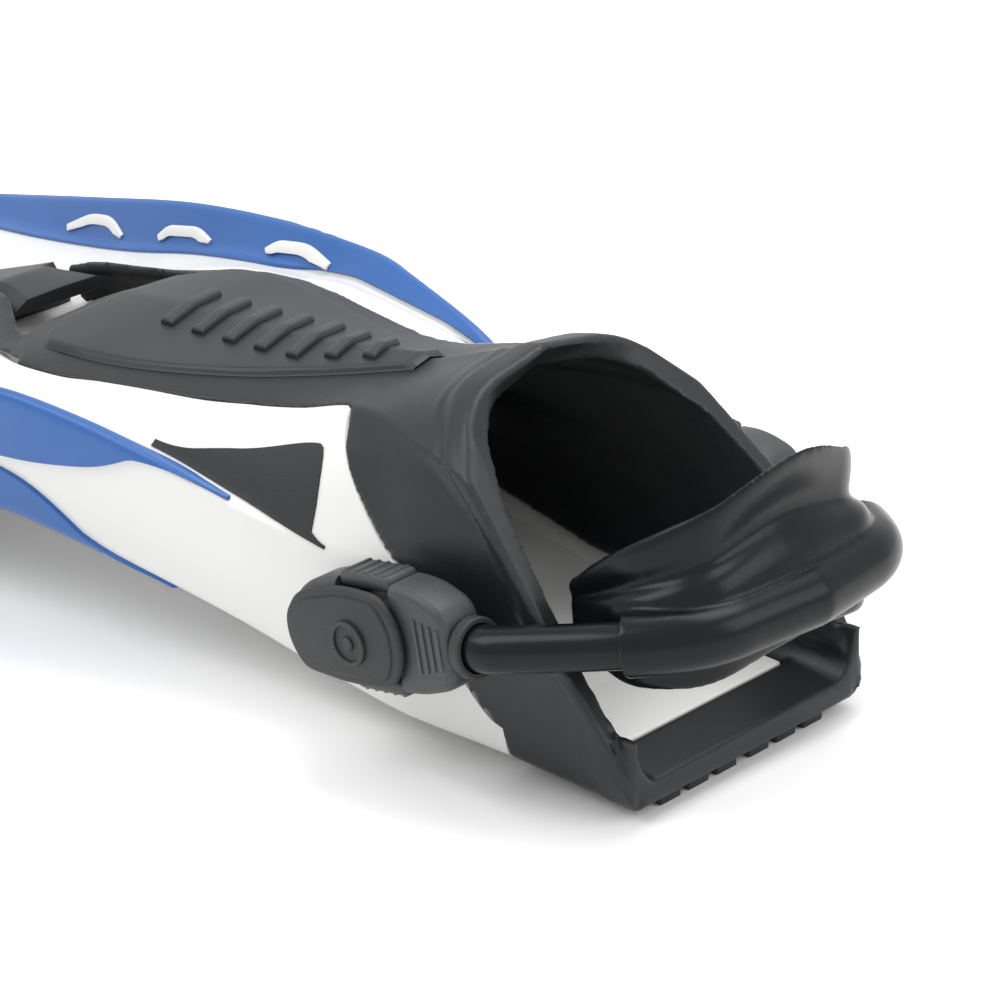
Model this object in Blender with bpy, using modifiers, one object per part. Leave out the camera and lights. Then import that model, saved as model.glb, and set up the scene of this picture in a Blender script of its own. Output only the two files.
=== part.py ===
"""An open-heel swim fin: white chassis and blade, blue side rails, black rubber foot pocket, and a
swivelling cord strap with a heel pad, held on two side posts by release buckles.

Run it with: blender --background --python part.py

Lengths are millimetres until the last step. A station s runs forward from the back of the heel to the
blade tip, y runs across and z up from the flat of the sole. The empty fin_rest then leans the whole fin
until heel and blade tip stand on the floor.
"""

import bisect
import math

import bmesh
import bpy
from mathutils import Matrix, Vector

MM = 0.001
GAP = 0.35
REST_PITCH = math.radians(3.0)

LINING = 2.7
EDGE_GAP = 0.12
HEEL_END = 46.0
TOE_END = 261.3
BAND_END = 296.0
PANEL_END = 242.0
TONGUE_END = 260.0
PLATE_BACK = 19.5
FLOOR = 9.3
BLADE_TIP = 604.0

# The strap turns on the posts. Its own frame starts at the post: u back along the strap, w up.
POST_S = 75.3
POST_Z = 35.5
STRAP_TILT = math.radians(11.0)
BUCKLE_INNER = 57.0
BUCKLE_OUTER = 70.6
COVER_OUTER = 74.2
CORD_RADIUS = 6.2
SLEEVE_RADIUS = 8.4


def guide(*knots):
    """A smooth curve through knots (s, value, ...): called with s, it gives the tuple of values there."""
    stations = [knot[0] for knot in knots]

    def slope(i, k):
        if i in (0, len(knots) - 1):
            return 0.0
        before = (knots[i][k] - knots[i - 1][k]) / (stations[i] - stations[i - 1])
        after = (knots[i + 1][k] - knots[i][k]) / (stations[i + 1] - stations[i])
        if before * after <= 0:
            return 0.0
        return 2 * before * after / (before + after)

    def at(s):
        s = min(max(s, stations[0]), stations[-1])
        i = min(max(bisect.bisect_right(stations, s) - 1, 0), len(knots) - 2)
        width = stations[i + 1] - stations[i]
        t = (s - stations[i]) / width
        values = []
        for k in range(1, len(knots[0])):
            low = knots[i][k]
            high = knots[i + 1][k]
            eased = (3 - 2 * t) * t * t
            bend = t * (1 - t) * ((1 - t) * slope(i, k) - t * slope(i + 1, k)) * width
            values.append(low + (high - low) * eased + bend)
        return tuple(values)

    return at


# Lines of the outside, as (s, y, z).
CHINE = guide(
    (0, 43.5, 0), (27, 44.5, 0), (46, 45, 0), (79, 48.5, 0.5), (107, 50.5, 3.5), (147, 55, 11),
    (205, 62, 18.5), (234, 64.5, 20), (262, 67, 18.5), (300, 71.5, 13), (342, 76, 6), (380, 81, -2),
    (448, 91, -14), (520, 99, -25), (580, 104, -31), (BLADE_TIP, 105, -32),
)
RIDGE = guide(
    (0, 46, 14), (14, 49, 30), (27.2, 50.3, 39.9), (51.1, 49.9, 41.6), (75.7, 52.3, 43.9),
    (99, 53, 42.6), (116, 54, 44.6), (141, 58.9, 50.4), (167.8, 64.6, 59), (191.9, 69.1, 63.7),
    (217, 74, 66.2), (248, 77, 65), (280, 81, 61), (315, 85, 55), (378, 94, 39), (448, 105, 20),
    (520, 111, 2.5), (580, 114, -11), (BLADE_TIP, 114, -16),
)
VALLEY = guide(
    (0, 46, 17), (27.2, 50.2, 43.9), (51.1, 48.9, 46.6), (75.7, 51.3, 48.9), (99, 52.2, 45.6),
    (116, 52.6, 46.7), (141, 54.4, 50.4), (164.3, 57.2, 53.7), (215.1, 63.4, 56.9), (234, 67, 53.5),
    (262, 70, 50), (302, 77, 42), (342, 82, 31.5), (375, 87.5, 23.5), (410, 92.5, 16.5),
    (448, 98.5, 9.5), (520, 105, -4.5), (580, 108.5, -15), (BLADE_TIP, 109, -19),
)
SHOULDER = guide(
    (0, 46, 20), (27.2, 50, 47.9), (51.1, 47.9, 56.6), (75.7, 47.3, 62.9), (103.5, 43.5, 62.1),
    (143.6, 46.4, 61.2), (166.4, 50.1, 61.8), (215, 57, 60.5), (234, 58, 57), (262, 54, 54.5),
    (302, 48, 43), (342, 50, 31), (375, 55, 23), (448, 60, 9), (520, 62, -5),
    (BLADE_TIP, 64, -19.5),
)
# Where the white wall ends and the rubber top begins.
EDGE = guide(
    (0, 44, 30), (27, 49.8, 51.8), (46, 46, 71), (68, 43, 77), (84, 40, 78.5), (100, 35, 79),
    (112, 31.5, 77.5), (122, 29.8, 75.2), (138.5, 31.5, 70), (156, 34.3, 66.6), (172, 38.8, 64.8),
    (189, 42.5, 63.8), (207, 46.3, 62.6), (220, 49.5, 61.2), (234, 50, 60), (251, 48, 58.5),
    (274, 38, 54), (300, 24, 44), (342, 22, 30.5), (375, 20, 22.8), (448, 18, 8.8), (520, 16, -5.2),
    (BLADE_TIP, 14, -19.7),
)
# The edge of the instep panel.
PANEL = guide(
    (0, 30, 60), (46, 33.5, 85.5), (68, 29, 91.5), (84, 24.5, 90), (96, 18, 86.5),
    (108, 10.5, 82.3), (119, 7, 78.5), (123, 8.2, 77.5), (137, 13.8, 74.4), (152, 19.3, 71.3),
    (166, 25, 68.9), (181, 30.5, 66.9), (197, 35.8, 65.2), (214, 39.5, 63.7), (228, 41, 63),
    (242, 40, 61.5), (262, 32, 59.5), (284, 19, 60.5), (300, 14, 57),
)
CROWN = guide(
    (0, 89), (46, 97.5), (74, 96), (88, 92), (98, 88.5), (110, 83.8), (119, 80.3), (137, 76.6),
    (152, 73.9), (166, 71.6), (181, 69.8), (200, 68), (228, 65.8), (242, 64), (262, 60.7),
    (300, 58),
)
# The underside of the web, and its deck or the footbed above.
UNDERSIDE = guide(
    (0, 0), (79, 0.5), (107, 3.5), (147, 11), (205, 18.5), (234, 20), (262, 22), (285, 28), (300, 35),
    (312, 34.5), (342, 26.5), (375, 19.5), (410, 13), (448, 6), (520, -8), (580, -17.8),
    (BLADE_TIP, -21.5),
)
FOOTBED = guide(
    (0, FLOOR), (90, FLOOR), (107, 10.5), (134, 14), (164, 18), (200, 22.5), (234, 24.5), (262, 27.5),
    (280, 32), (300, 41), (312, 39), (342, 30.5), (375, 22.8), (410, 16), (448, 8.8), (520, -5.2),
    (580, -15.4), (BLADE_TIP, -19.7),
)
# The upper end of the white wall, as a height.
WALL_TOP = guide(
    (46, 10.6), (50, 12), (56, 18.5), (65, 32), (75, 45), (88, 51.5), (102, 59.5), (117, 72),
    (121, 79), (124, 86),
)
# The foot's space: half-outlines as corners (y, z) from the floor to the crown.
CAVITY = guide(
    (0, 36, FLOOR, 43, 18, 45, 34, 41, 56, 25, 66, 66),
    (27, 36.5, FLOOR, 44, 28, 45, 47, 42.5, 71, 26, 82, 84.5),
    (47, 37, FLOOR, 43.5, 30, 44.5, 50, 40.5, 72, 26, 85, 89.5),
    (60, 37.5, FLOOR, 44, 30, 45.5, 50, 38.5, 76, 25, 87, 91.5),
    (80, 38, FLOOR, 45, 28, 47, 46, 35, 76, 23, 86, 89.5),
    (98, 38.5, 9.8, 46.5, 28, 48.5, 44, 32, 74, 20, 81, 84.5),
    (112, 39.5, 11, 47.5, 29, 49.5, 44, 29.5, 71.5, 17, 76.5, 79),
    (123, 40.5, 12.5, 48.5, 31, 50, 45, 29, 68.5, 16, 73.5, 75.8),
    (138, 41.5, 14.5, 50, 34, 51.5, 46, 29.5, 65, 17, 70, 72.3),
    (152, 42.5, 16.5, 51.5, 36, 53.5, 48, 32, 62.5, 21, 67, 69.8),
    (172, 44, 19.3, 54, 39, 56, 50, 37, 60, 27, 64, 66.5),
    (200, 46, 22.5, 56, 42, 58.5, 51, 43, 58.5, 32, 61.5, 64.3),
    (234, 49, 24.5, 57, 40, 58, 48, 45.5, 55, 32, 58, 60.8),
    (262, 47, 27.5, 54, 38, 54, 45, 38, 51.5, 26, 54.5, 56.5),
    (300, 30, 41, 30, 42.5, 27, 43, 17, 48, 10.5, 52, 53),
)
# The line of the opening's rim: its station at a height, outside and inside.
RIM_OUTSIDE = guide(
    (0, 2.5), (3.3, 0.8), (7.7, 1.4), (28, 14), (48, 27.8), (59, 37.5), (70, 50), (77, 60.5),
    (83, 66), (88, 70.5), (93, 73.5), (97, 74.5),
)
RIM_INSIDE = guide(
    (0, 2), (7.7, 1.4), (28, 14), (47, 27.5), (58, 37.5), (69, 49.5), (77, 60), (82.5, 67),
    (86.5, 73.5), (91, 79.5),
)


def rounded(corners, radii, steps):
    """An open outline through the corners, each inner one turned in steps + 1 points."""
    points = [corners[0]]
    for before, corner, after, radius in zip(corners, corners[1:], corners[2:], radii):
        back = math.dist(before, corner)
        ahead = math.dist(corner, after)
        reach = min(radius, 0.46 * back, 0.46 * ahead)
        start = [c + (b - c) * reach / back for b, c in zip(before, corner)]
        end = [c + (a - c) * reach / ahead for a, c in zip(after, corner)]
        for step in range(steps + 1):
            t = step / steps
            points.append(
                tuple(
                    (1 - t) ** 2 * a + 2 * t * (1 - t) * c + t * t * b
                    for a, c, b in zip(start, corner, end)
                )
            )
    points.append(corners[-1])
    return points


def lengths(points):
    total = [0.0]
    for a, b in zip(points, points[1:]):
        total.append(total[-1] + math.dist(a, b))
    return total


def spread(points, shares):
    """Points at the given shares of an outline's length."""
    total = lengths(points)
    found = []
    for share in shares:
        goal = share * total[-1]
        i = min(max(bisect.bisect_right(total, goal) - 1, 0), len(points) - 2)
        t = (goal - total[i]) / max(total[i + 1] - total[i], 1e-9)
        found.append(tuple(a + (b - a) * t for a, b in zip(points[i], points[i + 1])))
    return found


def offset(points, distance):
    """An outline moved to its left by distance, seen with y right and z up."""
    moved = []
    for i, (y, z) in enumerate(points):
        before = points[max(i - 1, 0)]
        after = points[min(i + 1, len(points) - 1)]
        dy = after[0] - before[0]
        dz = after[1] - before[1]
        size = math.hypot(dy, dz)
        moved.append((y - dz / size * distance, z + dy / size * distance))
    return moved


def waist(s):
    """The middle of the outer side, a little fuller than the straight line."""
    chine = CHINE(s)
    ridge = RIDGE(s)
    bulge = 2.2 if s < 120 else max(1.0, 2.2 - (s - 120) / 90)
    return ((chine[0] + ridge[0]) / 2 + bulge, (chine[1] + ridge[1]) / 2)


def side_outline(s):
    """From under the sole, round the chine and the ridge, up to the edge of the rubber top."""
    chine = CHINE(s)
    corners = [(0.8 * chine[0], chine[1]), chine, waist(s), RIDGE(s), VALLEY(s), SHOULDER(s), EDGE(s)]
    soft = 10 if s < 60 else 5
    return rounded(corners, [max(3.5, 8 - max(0, s - 200) / 12), 20, soft, soft, 12], 3)


def top_outline(s):
    """From the edge of the rubber top to the crown."""
    return rounded([EDGE(s), PANEL(s), (0, CROWN(s)[0])], [6 if s > 100 else 14], 4)


SIDE_POINTS = len(side_outline(100))
HALF_POINTS = SIDE_POINTS + len(top_outline(100))


def hull(s):
    """The half-outline of the outside: side points, then top points from the edge on."""
    side = side_outline(s)
    (y_before, z_before), (y, z) = side[-2:]
    side[-1] = (y + (y_before - y) * EDGE_GAP, z + (z_before - z) * EDGE_GAP)
    return side + top_outline(s)


def cavity(s):
    """The half-outline of the foot's space, its points level with the hull's."""
    c = CAVITY(s)
    corners = [(c[0], c[1]), (c[2], c[3]), (c[4], c[5]), (c[6], c[7]), (c[8], c[9]), (0, c[10])]
    outline = rounded(corners, [20, 20, 20, 20], 4)
    inner = lengths(outline)
    reach = min(EDGE(s)[0] - 4, c[6])
    i = max(i for i, (y, z) in enumerate(outline) if y >= reach)
    part = (outline[i][0] - reach) / max(outline[i][0] - outline[i + 1][0], 1e-6)
    split = (inner[i] + (inner[i + 1] - inner[i]) * part) / inner[-1]
    outer = lengths(hull(s))
    side = outer[SIDE_POINTS - 1]
    shares = [split * length / side for length in outer[:SIDE_POINTS]]
    shares += [
        split + (1 - split) * (length - side) / (outer[-1] - side) for length in outer[SIDE_POINTS:]
    ]
    return spread(outline, shares)


def station_at(line, height_of, low, high):
    """The station where a column's height meets a rim or wall line, by bisection."""
    for _ in range(40):
        middle = (low + high) / 2
        if line(height_of(middle))[0] > middle:
            low = middle
        else:
            high = middle
    return (low + high) / 2


def vec(s, y, z):
    return Vector((-s * MM, y * MM, z * MM))


# ---------------------------------------------------------------- scene and materials

for leftover in list(bpy.data.objects):
    bpy.data.objects.remove(leftover, do_unlink=True)

fin = bpy.data.collections.new("swim_fin")
cutters = bpy.data.collections.new("cutters")
for collection in (fin, cutters):
    bpy.context.scene.collection.children.link(collection)


def material(name, colour, roughness, metallic=0.0):
    made = bpy.data.materials.new(name)
    made.use_nodes = True
    shader = made.node_tree.nodes["Principled BSDF"]
    shader.inputs["Base Color"].default_value = (*colour, 1)
    shader.inputs["Roughness"].default_value = roughness
    shader.inputs["Metallic"].default_value = metallic
    return made


WHITE = material("white_polymer", (0.85, 0.85, 0.82), 0.35)
BLUE = material("blue_rail", (0.08, 0.20, 0.48), 0.4)
BLACK = material("black_rubber", (0.07, 0.075, 0.08), 0.6)
INLAY = material("grey_inlay", (0.05, 0.055, 0.06), 0.55)
STRAP = material("strap_rubber", (0.012, 0.014, 0.016), 0.3)
BUCKLE = material("buckle_plastic", (0.03, 0.033, 0.036), 0.5)
TAB = material("tab_plastic", (0.10, 0.105, 0.11), 0.45)
STEEL = material("stainless_steel", (0.6, 0.6, 0.6), 0.3, 1.0)

fin_rest = bpy.data.objects.new("fin_rest", None)
fin.objects.link(fin_rest)
fin_rest.rotation_euler = (0, REST_PITCH, 0)

# The strap frame: local +X is back along the strap, +Y across, +Z up from it.
strap_frame = bpy.data.objects.new("strap_frame", None)
fin.objects.link(strap_frame)
strap_frame.parent = fin_rest
strap_frame.location = vec(POST_S, 0, POST_Z)
strap_frame.rotation_euler = (0, -STRAP_TILT, 0)


def add_object(name, mesh, finish, parent, collection=fin):
    made = bpy.data.objects.new(name, mesh)
    collection.objects.link(made)
    made.parent = parent
    if finish:
        mesh.materials.append(finish)
    return made


def as_cutter(made):
    made.hide_render = True
    made.display_type = "WIRE"
    for collection in list(made.users_collection):
        collection.objects.unlink(made)
    cutters.objects.link(made)
    return made


def is_flat(face):
    centre = face.calc_center_median()
    return all(abs((vert.co - centre).dot(face.normal)) < 1e-6 for vert in face.verts)


def loft(name, sections, finish, parent, collection=fin, closed=True):
    """A solid skinned over closed sections of equal length, capped at both ends. Points are Vectors."""
    shape = bmesh.new()
    rings = [[shape.verts.new(point) for point in section] for section in sections]
    for ring, following in zip(rings, rings[1:]):
        for i in range(len(ring)):
            j = (i + 1) % len(ring)
            shape.faces.new((ring[i], ring[j], following[j], following[i]))
    if closed:
        shape.faces.new(rings[0])
        shape.faces.new(rings[-1])
    bmesh.ops.recalc_face_normals(shape, faces=shape.faces)
    uneven = [face for face in shape.faces if not is_flat(face)]
    bmesh.ops.triangulate(shape, faces=uneven, quad_method="FIXED")
    mesh = bpy.data.meshes.new(name)
    shape.to_mesh(mesh)
    shape.free()
    return add_object(name, mesh, finish, parent, collection)


def boolean(target, other, operation="DIFFERENCE"):
    modifier = target.modifiers.new(operation.lower(), "BOOLEAN")
    modifier.operation = operation
    modifier.solver = "EXACT"
    modifier.object = other
    return target


def cylinder(name, radius, length, finish, parent, location, across=True, segments=24, collection=fin):
    """A cylinder centred on location, along Y when across, else along local X."""
    shape = bmesh.new()
    turn = Matrix.Rotation(math.pi / 2, 4, "X" if across else "Y")
    bmesh.ops.create_cone(
        shape, cap_ends=True, segments=segments, radius1=radius * MM, radius2=radius * MM,
        depth=length * MM, matrix=turn,
    )
    mesh = bpy.data.meshes.new(name)
    shape.to_mesh(mesh)
    shape.free()
    made = add_object(name, mesh, finish, parent, collection)
    made.location = Vector(location) * MM
    return made


def box(name, size, finish, parent, location, collection=fin):
    shape = bmesh.new()
    bmesh.ops.create_cube(shape, size=1, matrix=Matrix.Diagonal((*(MM * side for side in size), 1)))
    mesh = bpy.data.meshes.new(name)
    shape.to_mesh(mesh)
    shape.free()
    made = add_object(name, mesh, finish, parent, collection)
    made.location = Vector(location) * MM
    return made


def slab(name, outline, low, high, finish, parent, collection=fin):
    """A flat outline of (u, w) points, given thickness across from y = low to high."""
    sections = [[Vector((u, y, w)) * MM for u, w in outline] for y in (low, high)]
    return loft(name, sections, finish, parent, collection)


# ---------------------------------------------------------------- chassis


def lower_corners(s):
    """The underside from the centre to the chine: flat under the foot, a channel under the blade."""
    under = UNDERSIDE(s)[0]
    y, z = CHINE(s)
    depth = min(1.0, max(0.0, under - z) / 6)
    y_web = waist(s)[0] - 5.5
    inner = 0.55 * y + (y_web - 0.55 * y) * depth
    foot = 0.72 * y + (y - 8.0 - 0.72 * y) * depth
    return [(0, under), (0.5 * inner, under), (inner, under), (foot, z)]


def cut_at(points, place):
    """The outline cut off at a place between its points. What lies beyond is gathered at the cut."""
    last = len(points) - 1
    found = []
    for i in range(last + 1):
        at = min(i, place - 0.03 * (last - i))
        k = max(0, min(int(at), last - 1))
        found.append(tuple(a + (b - a) * (at - k) for a, b in zip(points[k], points[k + 1])))
    return found


def place_of_height(points, height, first):
    """Where an outline climbs past a height, as a place between its points."""
    for k in range(first, len(points) - 1):
        low, high = points[k][1], points[k + 1][1]
        if high > height:
            return k + max(0.0, (height - low) / (high - low))
    return len(points) - 1


def chassis_section(s, grow):
    """The white section at a station as a closed list of (y, z), grown by a clearance for the cutter."""
    outer = hull(s)[:SIDE_POINTS]
    inner = offset(cavity(min(s, TOE_END)), -LINING - GAP + grow)[:SIDE_POINTS]
    bed = FOOTBED(s)[0] + grow
    last = SIDE_POINTS - 1
    if s > TOE_END:
        blend = min(1.0, (s - TOE_END) / 15)
        edge_y, edge_z = EDGE(s)
        inner = [
            (
                y + (edge_y * (0.04 + 0.9 * k / last) - y) * blend,
                min(z + (bed + (edge_z - 1.4 - bed) * (k / last) ** 3 - z) * blend, edge_z - 1.4),
            )
            for k, (y, z) in enumerate(inner)
        ]
    top = WALL_TOP(s)[0] + grow
    outer_end = inner_end = last
    if s < 124:
        outer_end = place_of_height(outer, top, 3)
        inner_end = place_of_height(inner, top, 1)
    outer = cut_at(outer, outer_end)
    inner = cut_at(inner, inner_end)[::3]
    if grow:
        y, z = outer[-1]
        reach = 14 / math.dist(inner[-1], outer[-1])
        far_y = y + (y - inner[-1][0]) * reach
        far_z = z + (z - inner[-1][1]) * reach + grow
        outer = [(0, -90), (140, -90), (140, far_z), (far_y, far_z), (y, z + grow)]
        inner[-1] = (inner[-1][0], inner[-1][1] + grow)
    else:
        outer = lower_corners(s) + outer[1:]
    inside = [(y, max(z, bed)) for y, z in reversed(inner)]
    return outer + inside + [(0, bed)]


def tip_shift(s, y):
    """How far the blade tip is drawn forward at y: two rounded lobes with a shallow notch between."""
    ease = max(0.0, (s - 500) / (BLADE_TIP - 500)) ** 2
    lobe = math.cos((abs(y) - 62) / 62 * math.pi / 2) if abs(y) < 124 else 0.0
    return ease * (16 * lobe - 8)


def chassis_ring(s, grow=0.0, at=None):
    half = chassis_section(s, grow)
    ring = [(-y, z) for y, z in half] + [(y, z) for y, z in reversed(half[1:-1])]
    return [vec((at or s) + tip_shift(s, y), y, z) for y, z in ring]


POCKET_STATIONS = (
    46.2, 50, 54, 61, 68, 76, 84, 93, 101, 109, 116, 121, 124, 131, 140, 150, 160, 168, 176, 190, 205, 218,
    232, 247, 256, 262, 272, 282, 291, 300,
)
BLADE_STATIONS = (
    306, 312, 326, 342, 360, 378, 400, 424, 448, 472, 496, 520, 542, 564, 584, BLADE_TIP,
)
chassis = loft(
    "chassis", [chassis_ring(s) for s in POCKET_STATIONS + BLADE_STATIONS], WHITE, fin_rest
)
footbed = box("footbed", (30.5, 66.8, 4.8), None, fin_rest, (-PLATE_BACK - 15.25, 0, 6.75))
boolean(chassis, as_cutter(footbed), "UNION")

# ---------------------------------------------------------------- foot pocket


def pocket_outside(s, k):
    """The outside of the rubber. Under the white wall it only has to reach past the clearance."""
    if k >= SIDE_POINTS - 1 or s < 124:
        return hull(s)[k]
    hidden = offset(cavity(s), -LINING - 0.9)[k]
    blend = min(1.0, (s - 124) / 15)
    return tuple(a + (b - a) * blend for a, b in zip(hull(s)[k], hidden))


def pocket_column(k):
    """One strip of the rubber, from the rim forward along the outside and back along the inside."""
    start = station_at(RIM_OUTSIDE, lambda s: hull(s)[k][1], 0, 100)
    inside = station_at(RIM_INSIDE, lambda s: cavity(s)[k][1], 0, 100)
    if k < SIDE_POINTS:
        end = TOE_END + (PANEL_END - TOE_END) * k / SIDE_POINTS
    else:
        share = (k - SIDE_POINTS) / (HALF_POINTS - 1 - SIDE_POINTS)
        end = PANEL_END + (TONGUE_END - PANEL_END) * math.sin(share * math.pi / 2)
    steps = [(i / 13) ** 1.15 for i in range(14)]
    out = [(s, *pocket_outside(s, k)) for s in (start + (end - start) * step for step in steps)]
    back = [(s, *cavity(s)[k]) for s in (inside + (end - inside) * step for step in reversed(steps))]
    return out + back


columns = [pocket_column(k) for k in range(2, HALF_POINTS)]
near = [[vec(s, -y, z) for s, y, z in rows] for rows in columns]
far = [[vec(s, y, z) for s, y, z in rows] for rows in reversed(columns[:-1])]
foot_pocket = loft("foot_pocket", near + far, BLACK, fin_rest)



def band_section(s, side):
    """One of the two bands that run from the toe round the vent."""
    (edge_y, edge_z), (panel_y, panel_z) = EDGE(s), PANEL(s)
    points = [
        (0.9 * edge_y - 1, edge_z - 0.1), (panel_y + 2, panel_z - 1.2), (panel_y, panel_z - 0.15),
        (panel_y - 1, panel_z - 4), (0.82 * edge_y - 1, edge_z - 3),
    ]
    return [vec(s, side * y, z) for y, z in points]


for side in (-1, 1):
    sections = [band_section(s, side) for s in (238, 248, 258, 266, 274, 282, 291, BAND_END)]
    boolean(foot_pocket, as_cutter(loft(f"band_{side}", sections, None, fin_rest)), "UNION")
foot_pocket.modifiers[0].use_self = True

# The white wall's place is cut out of the rubber, with a clearance all round it.
clearance = [chassis_ring(POCKET_STATIONS[0], GAP, POCKET_STATIONS[0] - GAP)]
clearance += [chassis_ring(s, GAP) for s in POCKET_STATIONS if s <= 262]
clearance.append(chassis_ring(262, GAP, 264))
boolean(foot_pocket, as_cutter(loft("wall_clearance", clearance, None, fin_rest)))

# The heel's floor joins the two walls: a lip, a ramp up to the footbed, and a ledge under its end.
heel_profile = [
    (1.4, 7.6), (PLATE_BACK - GAP, 9.0), (PLATE_BACK - GAP, 4.0), (HEEL_END - GAP, 4.0),
    (HEEL_END - GAP, 1.6), (3.0, 1.6), (0.9, 2.6),
]
heel_floor = loft(
    "heel_floor", [[vec(s, y, z) for s, z in heel_profile] for y in (-41, 41)], None, fin_rest
)
boolean(foot_pocket, as_cutter(heel_floor), "UNION")

heel_tread = box("heel_tread", (42, 66, 1.4), BLACK, fin_rest, (-24.5, 0, 0.55))
for row, s in enumerate((7.5, 19.0, 30.5, 42.0)):
    for y in (-28.5, -17.5, -6.5, 6.5, 17.5, 28.5):
        lug = box(f"lug_{row}_{y}", (7.5, 8.0, 3.2), None, fin_rest, (-s, y, -0.9))
        boolean(heel_tread, as_cutter(lug), "UNION")

# ---------------------------------------------------------------- rubber pieces on the front


def top_height(s, y):
    """The height of the rubber top at y."""
    outline = top_outline(s)
    for (y_out, z_out), (y_in, z_in) in zip(outline, outline[1:]):
        if y_in <= y <= y_out:
            return z_out + (z_in - z_out) * (y_out - y) / (y_out - y_in)
    return outline[0][1]


def panel_section(s):
    """The instep panel's section: a thin skin lying on the rubber top."""
    half = PANEL(s)[0] - 2.0
    if s > PANEL_END - 4:
        half *= math.sqrt(max(0.02, 1 - ((s - PANEL_END + 4) / (TONGUE_END - PANEL_END)) ** 2))
    across = [-half + 2 * half * i / 10 for i in range(11)]
    under = [vec(s, y, top_height(s, abs(y)) + GAP + 0.15) for y in across]
    over = [vec(s, y, top_height(s, abs(y)) + GAP + 1.4) for y in reversed(across)]
    return under + over


PANEL_STATIONS = (120, 124, 130, 137, 145, 160, 175, 190, 205, 220, 232, 240, 246, 251, 254)
loft("instep_panel", [panel_section(s) for s in PANEL_STATIONS], BLACK, fin_rest)

# The spine: a lip across the vent, then a ridge that fades into the web. Knots: (s, half width, top).
SPINE = guide(
    (281, 19, 58), (300, 13, 57.5), (301, 13.5, 57.2), (304, 21, 56), (342, 17, 43), (380, 13, 29),
    (430, 8, 15.5),
)


def spine_section(s):
    half, top = SPINE(s)
    if s < 303:
        half = min(half, PANEL(s)[0] - 1.6)
        low = top - 4.5
        side = top - 3.0
    else:
        low = FOOTBED(s)[0] + 0.9
        side = EDGE(s)[1] + 1.0
    low = min(low, side - 0.4)
    points = [(0, low), (half, low), (half, side), (0.72 * half, top), (0, top + 0.3)]
    return [vec(s, y, z) for y, z in points] + [vec(s, -y, z) for y, z in reversed(points[1:-1])]


SPINE_STATIONS = (281, 286, 292, 298, 301, 304, 310, 320, 332, 345, 360, 378, 396, 414, 430)
loft("centre_spine", [spine_section(s) for s in SPINE_STATIONS], BLACK, fin_rest)

# ---------------------------------------------------------------- side skins


def over_side(s, place, height):
    """A point over the white side: place counts along its outline's points, height is out from it."""
    outline = offset(side_outline(s), -height)
    k = min(int(place), len(outline) - 2)
    return tuple(a + (b - a) * (place - k) for a, b in zip(outline[k], outline[k + 1]))


def skin(name, stations, span, first_place, last_place, heights, finish, side):
    """A thin skin over the white side between two places, each given by the station."""
    low, high = span
    sections = []
    for s in stations:
        first, last = first_place(s)[0], last_place(s)[0]
        places = [
            min(max(i, first + 0.03 * (i - low)), last - 0.03 * (high - i))
            for i in range(low, high + 1)
        ]
        section = [over_side(s, place, heights[0]) for place in places]
        section += [over_side(s, place, heights[1]) for place in reversed(places)]
        sections.append([vec(s + tip_shift(s, y), side * y, z) for y, z in section])
    return loft(name, sections, finish, fin_rest)


# Places along the side: 1 to 4 round the chine, 9 to 12 over the ridge, 13 to 16 through the valley.
RAIL_TOP = guide((140, 12.2), (156, 13.3), (600, 13.3))
RAIL_EDGE = guide((140, 11.2), (156, 10.2), (191, 7.6), (218, 6.6), (272, 6.1))
RAIL_FOOT = guide((256, 1.2), (600, 1.2))
PRONG_FOOT = guide((168, 1.2), (272, 1.2))
PRONG_TOP = guide((168, 2.4), (221, 5.6), (256, 5.9), (272, 6.2))
INLAY_FOOT = guide((107, 12.7), (139, 14.4), (174, 15.2))
INLAY_TOP = guide((107, 13.9), (122, 19.9), (147, 18.2), (174, 16.2))
UPPER_STATIONS = [s for s in POCKET_STATIONS if 140 <= s <= 272]
PRONG_STATIONS = [s for s in POCKET_STATIONS if 168 <= s <= 272]
RAIL_STATIONS = [s for s in POCKET_STATIONS if s >= 256] + list(BLADE_STATIONS[:-1])
SIDES = (("left", -1), ("right", 1))

for label, side in SIDES:
    rail = skin(
        f"rail_{label}", RAIL_STATIONS, (1, 14), RAIL_FOOT, RAIL_TOP, (0.6, 1.8), BLUE, side
    )
    upper = skin(
        f"upper_prong_{label}", UPPER_STATIONS, (6, 14), RAIL_EDGE, RAIL_TOP, (0.65, 1.75), None, side
    )
    lower = skin(
        f"lower_prong_{label}", PRONG_STATIONS, (1, 7), PRONG_FOOT, PRONG_TOP, (0.55, 1.7), None, side
    )
    for prong in (upper, lower):
        boolean(rail, as_cutter(prong), "UNION")
    skin(
        f"side_inlay_{label}", [107, 112, 118, 122, 128, 134, 140, 150, 160, 172], (12, 20),
        INLAY_FOOT, INLAY_TOP, (0.5, 1.3), INLAY, side,
    )

# The loops on the rails' inner faces, as (s, z) corners from one foot to the other.
LOOPS = (
    ((392, 25.5), (378, 33), (364, 36), (354, 33)),
    ((332, 39.5), (327, 44), (309, 48.5), (300, 47)),
    ((268, 54), (263, 57.5), (248, 60.5), (234, 58.5)),
)


def on_rail_face(s, z, height):
    """The point of a rail's inner face at a height z, raised out from it."""
    face = offset(side_outline(s), -height)[11:15]
    z = min(max(z, face[-1][1]), face[0][1])
    for (y_up, z_up), (y_down, z_down) in zip(face, face[1:]):
        if z >= z_down:
            break
    return (s, y_up + (y_down - y_up) * (z_up - z) / (z_up - z_down), z)


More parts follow.
